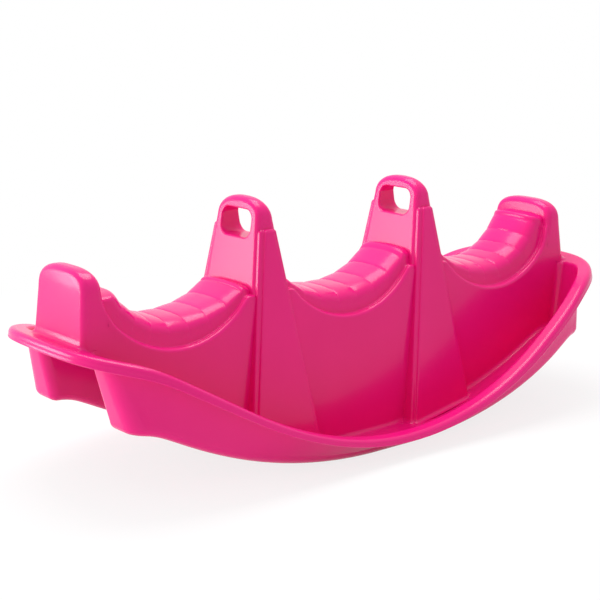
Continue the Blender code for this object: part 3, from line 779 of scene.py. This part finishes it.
END_TOP = 0.23  # first guess of where the end column meets the seat's arc
for _ in range(20):
    END_TOP = seat_arc(block_inner(END_TOP) - SEAT_PITCH)
for label, side in SIDES:
    bm = bmesh.new()
    columns = []
    for x in RIDGE_STATIONS:
        if abs(x) > RIDGE_END + 1e-6:
            continue
        at_end = abs(abs(x) - RIDGE_END) < 1e-6
        top = END_TOP if at_end else wall_top(x)
        heights = [mix(sheer(x), top, k / WALL_ROWS) for k in range(WALL_ROWS + 1)]
        columns.append([(copysign(block_inner(z), x) if at_end else x,
                         side * ridge_half(z), z) for z in heights])
    add_rows(bm, columns)
    declare(make_piece("ridge_side_" + label, bm, lambda p: Vector((0, side, 0))),
            "saddle_wall_" + label)

# %% [markdown]
# ## Quilted seats
# The seats are the piece that repeats, and their shape follows a rule, so Geometry Nodes
# make them. One tree sweeps the pad's cross-section along a straight line and then bends
# the strip into a saddle: each point keeps its height over the seat's edge, and its place
# along the line becomes a place on an arc. Puffs between the sewn-looking grooves are a
# wave along that arc. The same tree serves all three seats, with other numbers for what
# stands at their two ends.
#
# Writing sums as nodes by hand is long, so a small class turns ordinary arithmetic into
# Math nodes.

# %% Arithmetic that builds Math nodes
class Sum:
    """A number inside a node tree. Arithmetic on it adds Math nodes."""

    def __init__(self, tree, socket):
        self.tree = tree
        self.socket = socket

    def math(self, operation, *others):
        values = [value.socket if isinstance(value, Sum) else value
                  for value in (self, *others)]
        outputs = add_node(self.tree, "ShaderNodeMath", dict(enumerate(values)),
                           operation=operation)
        return Sum(self.tree, outputs[0])

    __add__ = partialmethod(math, "ADD")
    __sub__ = partialmethod(math, "SUBTRACT")
    __mul__ = partialmethod(math, "MULTIPLY")
    __truediv__ = partialmethod(math, "DIVIDE")

    def clamp(self, low=0.0, high=1.0):
        return self.math("MAXIMUM", low).math("MINIMUM", high)

    def positive(self):
        return self.math("MAXIMUM", 0.0)

    def toward(self, other, share):
        return self + (other - self) * share


# %% Sizes of a seat
PAD_HALF = 0.0535  # half width of the pad where its crown begins
LEDGE_HEIGHT = 0.0095  # over the seat's edge, as is the next one
SIDE_TOP = 0.0230
PAD_CROWN = 0.0225  # from there up to the pad's middle
END_BLEND = 0.009  # height over which the arc eases into the level end
LIFT_FROM = 0.86  # share of the way to a face where the edge starts to lift
PUFF_POWER = 0.31  # the smaller, the broader the puffs and the finer the grooves
GROOVE_FOOT, GROOVE_FADE = 0.0200, 0.0040  # a groove starts above the pad's plain side
EDGE_GROOVE = 0.8  # it is deeper by this share near the pad's edge,
EDGE_HEIGHT, EDGE_FADE = 0.0310, 0.0080  # and the extra has gone at this height
GROOVE_RUNOUT = 0.004  # a groove runs out where the pad turns level
TUCK_SLOPE = 0.5  # how fast an end gets narrower behind the face
END_INPUTS = ["face", "lean", "ledge", "top", "cling"]
SEAT_INPUTS = (["Centre", "Radius", "Axis height", "Channel pitch", "Channel depth", "Tuck"]
               + [f"{end} {what}" for end in ("Front", "Rear") for what in END_INPUTS])


# %% The seat tree
def seat_tree():
    tree = bpy.data.node_groups.new("quilted_seat", "GeometryNodeTree")
    sockets = ([("Geometry", "Geometry")] + [(name, "Float") for name in SEAT_INPUTS]
               + [("Section", "Object"), ("Columns", "Int"), ("Material", "Material")])
    for name, kind in sockets:
        tree.interface.new_socket(name=name, in_out="INPUT", socket_type="NodeSocket" + kind)
    tree.interface.new_socket(name="Geometry", in_out="OUTPUT",
                              socket_type="NodeSocketGeometry")
    add = partial(add_node, tree)
    given = add("NodeGroupInput")
    size = {name: Sum(tree, given[name]) for name in SEAT_INPUTS}

    # A straight strip: the section swept from -1 to 1 along X.
    line = add("GeometryNodeCurvePrimitiveLine", {"Start": (-1, 0, 0), "End": (1, 0, 0)})
    cut = add("GeometryNodeResampleCurve", {"Curve": line["Curve"], "Count": given["Columns"]})
    section = add("GeometryNodeObjectInfo", {"Object": given["Section"]})
    outline = add("GeometryNodeMeshToCurve", {"Mesh": section["Geometry"]})
    sweep = add("GeometryNodeCurveToMesh",
                {"Curve": cut["Curve"], "Profile Curve": outline["Curve"]})

    # Where each point is in the strip.
    here = add("GeometryNodeInputPosition")
    split = add("ShaderNodeSeparateXYZ", {"Vector": here["Position"]})
    along = Sum(tree, split["X"])
    across = Sum(tree, split["Y"])
    height = Sum(tree, split["Z"]) * -1.0
    rear = along.math("GREATER_THAN", 0.0)
    share = along.math("ABSOLUTE")

    def at_end(what):
        return size["Front " + what].toward(size["Rear " + what], rear)

    # The end of its line: how high it may climb, and the face that it runs into.
    low = height.math("MINIMUM", at_end("cling"))
    above = height - low
    climb = low / (SIDE_TOP + PAD_CROWN)
    crest = at_end("top")
    top = at_end("ledge").toward(crest, climb)
    reach = at_end("face") + at_end("lean") * top
    out = share * (reach + size["Tuck"])

    # The arc, and the level end that cuts it short.
    radius = size["Radius"] - low

    def arc_height(distance):
        depth = radius * radius - distance * distance
        return size["Axis height"] - depth.math("MAXIMUM", 1e-7).math("SQRT")

    arc = arc_height(out)
    bent = arc.math("SMOOTH_MIN", top, END_BLEND)
    ramp = ((out / reach - LIFT_FROM) / (1 - LIFT_FROM)).clamp()
    short = (top - arc_height(reach)).positive()
    lift = short * (low / LEDGE_HEIGHT).clamp()
    thin = (crest - top).positive() / (SIDE_TOP + PAD_CROWN - LEDGE_HEIGHT)
    near_end = (out / reach).clamp()
    rise = bent + lift * ramp * ramp + above * ((thin - 1.0) * near_end * near_end + 1.0)

    # Puffs between the grooves.
    angle = (out / radius).clamp(-1.0, 1.0).math("ARCSINE")
    wave = (angle / size["Channel pitch"] * pi).math("COSINE").math("ABSOLUTE")
    puff = wave.math("POWER", PUFF_POWER)
    crown = ((height - GROOVE_FOOT) / GROOVE_FADE).clamp()
    edge = ((height - EDGE_HEIGHT) / -EDGE_FADE).clamp()
    level = ((top - arc) / GROOVE_RUNOUT).clamp()
    groove = ((puff * -1.0 + 1.0) * crown * level * (edge * EDGE_GROOVE + 1.0)
              * size["Channel depth"])
    x = size["Centre"] + (out + groove * angle.math("SINE")) * along.math("SIGN")
    z = rise - groove * angle.math("COSINE")

    # The ridge narrows upwards, and the ends tuck in behind the face.
    taper = (z * -RIDGE_TAPER + RIDGE_HALF_AT_FLOOR) / ridge_half(SEAT_LOW)
    past = (out - reach).positive()
    y = across * taper - past * TUCK_SLOPE * across.math("SIGN")
    place = add("ShaderNodeCombineXYZ", {"X": x.socket, "Y": y.socket, "Z": z.socket})
    bend = add("GeometryNodeSetPosition",
               {"Geometry": sweep["Mesh"], "Position": place["Vector"]})
    real = add("GeometryNodeRealizeInstances", {"Geometry": bend["Geometry"]})
    paint = add("GeometryNodeSetMaterial",
                {"Geometry": real["Geometry"], "Material": given["Material"]})
    add("NodeGroupOutput", {"Geometry": paint["Geometry"]})
    return tree


SEAT_TREE = seat_tree()
print("seat tree has", len(SEAT_TREE.nodes), "nodes")


# %% [markdown]
# The cross-section is drawn once, as a row of points: the wall's top edge rolls over into
# a narrow ledge with a fine groove, a small fillet turns up into the pad's plain side,
# and the crown is a quarter of a squared-off ellipse on each half. A sweep lays a
# section's X across the path and its Y along the path's normal, so the tree's Z is the
# height over the seat's edge.

# %% The pad's cross-section
BEAD_ROUND = 0.0050
CROWN_FULLNESS = 2.8  # 2 would be an ellipse
CROWN_POINTS = 20
PAD_DRAFT = 0.0012  # the plain side leans out by this much at its foot
PAD_FILLET = 0.0020
# The ledge's groove: distance in from the bead, and depth.
LEDGE_GROOVE = ((0.0005, 0.0003), (0.0010, 0.0010), (0.0017, 0.0011), (0.0023, 0.0004),
                (0.0028, 0.0))


def pad_section():
    """Distances from the centre line and heights over the edge, right skirt to middle."""
    rim_y = ridge_half(SEAT_LOW)
    foot = PAD_HALF + PAD_DRAFT
    points = [(rim_y, 0.0), (rim_y, 0.0025), (rim_y, LEDGE_HEIGHT - BEAD_ROUND)]
    points += [(rim_y - BEAD_ROUND * inward, LEDGE_HEIGHT - BEAD_ROUND * down)
               for inward, down in quarter(7, 1)]
    points += [(rim_y - BEAD_ROUND - along, LEDGE_HEIGHT - down)
               for along, down in LEDGE_GROOVE]
    points += [(foot + 0.0024, LEDGE_HEIGHT)]
    points += [(foot + PAD_FILLET * out, LEDGE_HEIGHT + PAD_FILLET * up)
               for up, out in quarter(5, 1)]
    points += [(mix(foot, PAD_HALF, k / 4), mix(LEDGE_HEIGHT + PAD_FILLET, SIDE_TOP, k / 4))
               for k in (1, 2, 3)]
    return points + [(PAD_HALF * c, SIDE_TOP + PAD_CROWN * s)
                     for c, s in squared_arc(pi / 2, CROWN_POINTS, CROWN_FULLNESS)]


half_section = pad_section()
section_points = half_section + [(-y, h) for y, h in reversed(half_section[:-1])]
section_mesh = bpy.data.meshes.new("pad_section")
section_mesh.from_pydata([(y, h, 0) for y, h in section_points],
                         [(i, i + 1) for i in range(len(section_points) - 1)], [])
section_object = add_object("pad_section", section_mesh)
print("cross-section of", len(section_points), "points")


# %% Make the three seats
# An end is the face that it meets, as a place at floor height and a lean, then its ledge,
# its crest, and the height up to which the pad hugs the seat's arc.
POST_PLANE = (SEAT_PITCH / 2 - POST_HALF_THICKNESS - POST_LEAN * POST_THIN, POST_LEAN)
BLOCK_PLANE = (RIDGE_END - BLOCK_LEAN * SEAT_LOW - SEAT_PITCH, BLOCK_LEAN)
POST_END = (*POST_PLANE, POST_FOOT, 0.246, LEDGE_HEIGHT)
MIDDLE_REAR_END = (*POST_PLANE, POST_FOOT, 0.262, LEDGE_HEIGHT)
FRONT_BLOCK_END = (*BLOCK_PLANE, 0.246, 0.267, SIDE_TOP + PAD_CROWN)
REAR_BLOCK_END = (*BLOCK_PLANE, 0.259, 0.281, SIDE_TOP + PAD_CROWN)


def seat(name, centre, front, rear):
    holder = add_object(name, bpy.data.meshes.new(name))
    sewn = holder.modifiers.new("quilting", "NODES")
    sewn.node_group = SEAT_TREE
    values = {"Centre": centre, "Radius": SEAT_RADIUS, "Axis height": SEAT_AXIS,
              "Channel pitch": radians(14), "Channel depth": 0.0025, "Tuck": 0.008,
              "Section": section_object, "Columns": 301, "Material": PLASTIC}
    for end, numbers in (("Front", front), ("Rear", rear)):
        values.update({f"{end} {what}": value for what, value in zip(END_INPUTS, numbers)})
    for item in SEAT_TREE.interface.items_tree:
        if item.in_out == "INPUT" and item.name in values:
            sewn[item.identifier] = values[item.name]
    settle(holder)
    bm = bmesh.new()
    bm.from_mesh(holder.data)
    bpy.data.objects.remove(holder, do_unlink=True)
    return make_piece(name, bm, wall=0.0026, crease=50)


for label, centre, front, rear in (("front", -SEAT_PITCH, FRONT_BLOCK_END, POST_END),
                                   ("middle", 0.0, POST_END, MIDDLE_REAR_END),
                                   ("rear", SEAT_PITCH, POST_END, REAR_BLOCK_END)):
    pad = seat("quilted_seat_" + label, centre, front, rear)
    heights = [v.co.z for v in pad.data.vertices]
    print(label, "seat from", round(min(heights), 4), "to", round(max(heights), 4))
    declare(pad, "seat_pad_" + label)
bpy.data.objects.remove(section_object, do_unlink=True)

# %% [markdown]
# ## Handle posts
# Each post is a hollow pylon with a round head and a hand hole right through it. One
# family of rings describes it all: out of the tunnel, round the mouth's soft edge, across
# the flat face to the outline, over the rolled edge and along the side. Every ring has
# one point for each point of the outline, on the line from the hole's middle, so the
# rings never twist.

# %% Sizes of a post
POST_BASE = 0.2290
POST_HEAD = 0.334  # height where the round head begins
POST_HALF = 0.0488
HEAD_FULLNESS = 2.4  # 2 would be an ellipse
POST_EDGE = 0.0085
HOLE_HEIGHT = 0.3280
HOLE_HALF_WIDTH = 0.0335
HOLE_HALF_HEIGHT = 0.0195
HOLE_CORNER = 0.014
MOUTH_ROUND = 0.0022
SIDE_STEPS = 40  # along a side and along the base of the outline
HEAD_STEPS = 48
EDGE_STEPS = 8  # round the rolled edge


# %% Outline of a post and rays to its hand hole
def post_outline():
    """Right base, up the side, over the head, down to the left base, and along the base."""
    half_low = ridge_half(POST_FOOT) - 0.0002
    shares = [k / SIDE_STEPS for k in range(SIDE_STEPS)]
    right = [(mix(half_low, POST_HALF, s), mix(POST_BASE, POST_HEAD, s)) for s in shares]
    head = [(POST_HALF * c, POST_HEAD + (POST_TOP - POST_HEAD) * s)
            for c, s in squared_arc(pi, HEAD_STEPS, HEAD_FULLNESS)]
    left = [(-y, z) for y, z in reversed(right)]
    bottom = [(mix(-half_low, half_low, s), POST_BASE) for s in shares[1:]]
    return right + head + left + bottom, len(right) + len(head) + len(left)


POST_OUTLINE, FREE_POINTS = post_outline()


def hole_ray(direction, widen):
    """Where a ray from the hole's middle meets its rounded outline."""
    corner = HOLE_CORNER + widen
    half_y = HOLE_HALF_WIDTH + widen - corner
    half_z = HOLE_HALF_HEIGHT + widen - corner
    low, high = 0.0, 0.1
    for _ in range(40):
        middle = (low + high) / 2
        py, pz = abs(direction.x) * middle - half_y, abs(direction.y) * middle - half_z
        outside = hypot(max(py, 0), max(pz, 0)) + min(max(py, pz), 0) > corner
        low, high = (low, middle) if outside else (middle, high)
    return direction * low


def outline_inset(amount):
    """The outline moved inwards, except that its base only gets narrower."""
    points = []
    for i, (y, z) in enumerate(POST_OUTLINE):
        if i >= FREE_POINTS:
            half = POST_OUTLINE[0][0]
            points.append(Vector((y * (half - amount) / half, z)))
            continue
        before = Vector(POST_OUTLINE[max(i - 1, 0)])
        after = Vector(POST_OUTLINE[min(i + 1, FREE_POINTS - 1)])
        run = (after - before).normalized()
        moved = Vector((y, z)) + Vector((-run.y, run.x)) * amount
        if i in (0, FREE_POINTS - 1):
            moved.y = z
        points.append(moved)
    return points


HOLE_CENTRE = Vector((0, HOLE_HEIGHT))
print("post outline of", len(POST_OUTLINE), "points")


# %% Rings of a post, from the middle of its tunnel to the middle of its side
FACE_FROM = 0.0015  # the face's own rings start this far outside the mouth,
FACE_SHARE = 0.3  # or this share of the way to the edge where that is less


def post_half(hand):
    """Rings of the half of a post that faces one way along the boat."""
    rays = [(p - HOLE_CENTRE).normalized() for p in map(Vector, POST_OUTLINE)]
    half_tunnel = post_face(HOLE_HEIGHT) - MOUTH_ROUND
    rings = []

    def ring(points, x_of):
        rings.append([Vector((hand * x_of(p.y), p.x, p.y)) for p in points])

    def hole(widen):
        return [HOLE_CENTRE + hole_ray(ray, widen) for ray in rays]

    tunnel = hole(0.0)
    for share in (0.0, 0.35, 0.7):
        ring(tunnel, lambda z: half_tunnel * share)
    for widen, sunk in quarter(6):
        mouth = hole(MOUTH_ROUND * widen)
        ring(mouth, lambda z: post_face(z) - MOUTH_ROUND * sunk)
    edge = outline_inset(POST_EDGE)
    near = [m + (e - m).normalized() * min(FACE_FROM, (e - m).length * FACE_SHARE)
            for m, e in zip(mouth, edge)]
    for share in (0.0, 0.2, 0.45, 0.7, 0.9):
        ring([a.lerp(b, share) for a, b in zip(near, edge)], post_face)
    for down, inset in quarter(EDGE_STEPS):
        ring(outline_inset(POST_EDGE * inset), lambda z: post_face(z) - POST_EDGE * down)
    last = rings[-1]
    for share in (0.5, 1.0):
        rings.append([Vector((p.x * (1 - share), p.y, p.z)) for p in last])
    return rings


for label, x in POSTS:
    bm = bmesh.new()
    for hand in (-1, 1):
        made = [add_row(bm, [(p.x + x, p.y, p.z) for p in ring]) for ring in post_half(hand)]
        open_from = len(made) - (EDGE_STEPS + 3)
        for n, (a, b) in enumerate(zip(made, made[1:])):
            if n < open_from:
                join_rows(bm, a, b, closed=True)
            else:
                join_rows(bm, a[:FREE_POINTS], b[:FREE_POINTS])

    def away(p):
        return Vector((p.x - x, 0, 0)) if abs(p.x - x) > 0.012 else Vector((0, 0, 0))

    declare(make_piece("grip_post_" + label, bm, away, wall=0.0024), "handle_post_" + label)

# %% [markdown]
# ## Buttresses
# A buttress props each side of a post. Seen from above it is a low pier with a raised
# panel inside a narrow border, and it widens all the way down to the floor of the well,
# where it flares out. The plan of the pier is drawn once as distances from its corner,
# and each level places that drawing at its own width.

# %% Plan of a buttress
BUTTRESS_TOP = 0.323
BUTTRESS_OUT = 0.0570  # reach from the middle of the ridge at the top,
BUTTRESS_LEAN = 0.138  # and how fast it grows further down
BUTTRESS_FLARE = 0.0075
BUTTRESS_ROUND = 0.005  # rounding of the top
PIER_INSET = 0.0030  # a pier is this much slimmer than its post, front and rear
PIER_SINK = 0.003  # its back reaches this far into what it leans on
# Distance along the face from the corner, and out from it, in a small S-shaped step.
STEP_PROFILE = [(0.0, -0.0062), (0.0002, -0.0051), (0.0008, -0.0043), (0.0017, -0.0037),
                (0.0028, -0.0035), (0.0052, -0.0035), (0.0058, -0.0033), (0.0062, -0.0028),
                (0.0065, -0.0018), (0.0068, -0.0008), (0.0073, -0.0002), (0.0082, 0.0),
                (0.0105, 0.0)]


def carrier_half(z):
    """Half width of what a buttress leans on: the ridge, and above it the post."""
    if z <= POST_FOOT:
        return ridge_half(z)
    return mix(ridge_half(POST_FOOT), POST_HALF, (z - POST_FOOT) / (POST_HEAD - POST_FOOT))


def pier_plan(z, inset=0.0):
    """Plan ring at a height: (x from the post's middle, y), from the wall and back to it."""
    half = post_face(z) - PIER_INSET
    shrink = (half - inset) / half
    wall = carrier_half(z)
    depth = BUTTRESS_OUT + BUTTRESS_LEAN * (BUTTRESS_TOP - z) - wall - inset
    plan = [(half * shrink, wall + (depth + STEP_PROFILE[0][1]) * k / 4) for k in range(4)]
    plan += [((half - across) * shrink, wall + max(depth + out, 0.0))
             for across, out in STEP_PROFILE]
    return plan + [(-x, y) for x, y in reversed(plan)]


print("pier plan of", len(pier_plan(0.1)), "points")


# %% Rings of a buttress, from its flared foot to its rounded top
def pier_feet(x):
    """For each point of the plan: its corner on the floor, and the ways up and out."""
    plan = pier_plan(floor_height(x))
    last = len(plan) - 1
    feet = []
    for i in range(len(plan)):
        z = floor_height(x)
        for _ in range(5):
            px, py = pier_plan(z)[i]
            z = floor_height(x + px)
        corner = Vector((x + px, py, z))
        above = corner.z + 0.01
        px, py = pier_plan(above)[i]
        up = (Vector((x + px, py, above)) - corner).normalized()
        run = Vector(plan[min(i + 1, last)]) - Vector(plan[max(i - 1, 0)])
        out = Vector((run.y, -run.x))
        if out.dot(Vector(plan[i]) - Vector((0, plan[0][1]))) < 0:
            out.negate()
        out.normalize()
        if i in (0, last):
            out = Vector((1 if i == 0 else -1, 0))
        feet.append((corner, up, out))
    return feet


def pier_rings(x):
    """Rings from the flared foot up: the flare, the leaning sides and the rounded top."""
    rings = []
    feet = pier_feet(x)
    for k in range(ARC_STEPS + 1):
        t = k / ARC_STEPS
        ring = []
        for corner, up, out in feet:
            p = corner + up * BUTTRESS_FLARE * t * t
            flat = out * BUTTRESS_FLARE * (1 - t) ** 2
            ring.append(Vector((p.x + flat.x, p.y + flat.y,
                                p.z + floor_height(corner.x + flat.x) - corner.z)))
        rings.append(ring)

    def level(heights, inset=0.0):
        points = [(*pier_plan(z, inset)[i], z) for i, z in enumerate(heights)]
        rings.append([Vector((x + px, py, z)) for px, py, z in points])

    start = [p.z for p in rings[-1]]
    for k in range(1, 13):
        level([mix(z, BUTTRESS_TOP - BUTTRESS_ROUND, k / 12) for z in start])
    for inset, down in quarter(6, 1):
        level([BUTTRESS_TOP - BUTTRESS_ROUND * down] * len(start), BUTTRESS_ROUND * inset)
    return rings


# %% Make the four buttresses
for place, x in POSTS:
    for label, side in SIDES:
        bm = bmesh.new()
        rings = []
        for ring in pier_rings(x):
            back = [Vector((p.x, p.y - PIER_SINK, p.z)) for p in (ring[-1], ring[0])]
            rings.append([(p.x, side * p.y, p.z) for p in ring + back])
        made = add_rows(bm, rings, closed=True)
        under = add_row(bm, [(v.co.x, v.co.y, v.co.z - 0.001) for v in made[0]])
        join_rows(bm, under, made[0], closed=True)
        bm.faces.new(under)
        bm.faces.new(made[-1])
        inside = Vector((x, side * 0.065, 0.15))
        declare(make_piece(f"pier_{place}_{label}", bm, lambda p: p - inside, wall=None),
                f"buttress_{place}_{label}")

# %% [markdown]
# ## Floor, light and camera
# The photograph is a catalogue picture: white all round, soft light from above and from
# the front, and the near side in gentle shade. The white comes from the floor and the
# world as the camera sees them, and not from extra light on the toy.

# %% World
AMBIENT = 0.66  # strength of the soft light from all round


def seen_ray(add):
    """1 for a ray from the camera or off a reflection, and 0 for one that carries light."""
    path = add("ShaderNodeLightPath")
    seen = path["Is Camera Ray"]
    for kind in ("Is Glossy Ray", "Is Transmission Ray"):
        seen = add("ShaderNodeMath", {0: seen, 1: path[kind]}, operation="MAXIMUM")[0]
    return seen


world = bpy.data.worlds.new("studio")
bpy.context.scene.world = world
world.use_nodes = True
world.node_tree.nodes.clear()
add = partial(add_node, world.node_tree)
soft = add("ShaderNodeBackground", {"Color": (1, 1, 1, 1), "Strength": AMBIENT})[0]
white = add("ShaderNodeBackground", {"Color": (1, 1, 1, 1), "Strength": 1.0})[0]
switch = add("ShaderNodeMixShader", {"Fac": seen_ray(add), 1: soft, 2: white})
add("ShaderNodeOutputWorld", {"Surface": switch["Shader"]})
print("world", world.name)

# %% Floor
FLOOR_HALF = 12
FADE = {"From Min": 0.35, "From Max": 1.1, "To Min": 0.80, "To Max": 1.0}
PAPER = {"Base Color": (0.93, 0.93, 0.93, 1), "Roughness": 0.9, "Specular IOR Level": 0.1}


def white_paper():
    """Paper that takes shadows near the toy and is seen as plain white further out."""
    paper = bpy.data.materials.new("white_paper")
    paper.use_nodes = True
    tree = paper.node_tree
    add = partial(add_node, tree)
    lit = wire(tree, tree.nodes["Principled BSDF"], PAPER)["BSDF"]
    glow = add("ShaderNodeEmission")["Emission"]
    here = add("ShaderNodeTexCoord")["Object"]
    away = add("ShaderNodeVectorMath", {0: here}, operation="LENGTH")["Value"]
    fade = add("ShaderNodeMapRange", {**FADE, "Value": away})["Result"]
    share = add("ShaderNodeMath", {0: seen_ray(add), 1: fade}, operation="MULTIPLY")[0]
    blend = add("ShaderNodeMixShader", {"Fac": share, 1: lit, 2: glow})
    wire(tree, tree.nodes["Material Output"], {"Surface": blend["Shader"]})
    return paper


floor_mesh = bpy.data.meshes.new("studio_floor")
floor_mesh.from_pydata([(x * FLOOR_HALF, y * FLOOR_HALF, 0)
                        for x, y in ((-1, -1), (1, -1), (1, 1), (-1, 1))], [], [(0, 1, 2, 3)])
floor = add_object("studio_floor", floor_mesh)
floor.data.materials.append(white_paper())
print("floor", 2 * FLOOR_HALF, "metres square")

# %% Lamps
def lamp(name, place, target, size, power):
    light = bpy.data.lights.new(name, "AREA")
    light.shape = "RECTANGLE"
    light.size, light.size_y = size
    light.energy = power
    lamp_object = add_object(name, light)
    lamp_object.visible_camera = False
    lamp_object.location = place
    aim = Vector(target) - Vector(place)
    lamp_object.rotation_euler = aim.to_track_quat("-Z", "Y").to_euler()
    print(name, power, "W")


lamp("overhead_softbox", (0.1, 0.5, 2.2), (0, 0, 0.1), (1.7, 1.3), 38)
lamp("front_softbox", (-2.1, 1.5, 0.64), (-0.2, 0, 0.2), (1.4, 1.2), 44)

# %% Camera
FOCAL_SHARE = 1475.8 / 600  # focal length over the picture's width, fitted to the photograph
AZIMUTH, ELEVATION = radians(-39.169), radians(13.185)
DISTANCE = 2.1593
TARGET = Vector((-0.0502, 0.0, 0.1988))
shot = bpy.data.cameras.new("catalogue_view")
shot.sensor_width = 36
shot.lens = FOCAL_SHARE * 36
viewer = add_object("catalogue_view", shot)
back = Vector((sin(AZIMUTH) * cos(ELEVATION), -cos(AZIMUTH) * cos(ELEVATION), sin(ELEVATION)))
viewer.location = TARGET + back * DISTANCE
viewer.rotation_euler = back.to_track_quat("Z", "Y").to_euler()
bpy.context.scene.camera = viewer
bpy.context.scene.view_settings.view_transform = "Standard"
print("lens", round(shot.lens, 2), "mm")
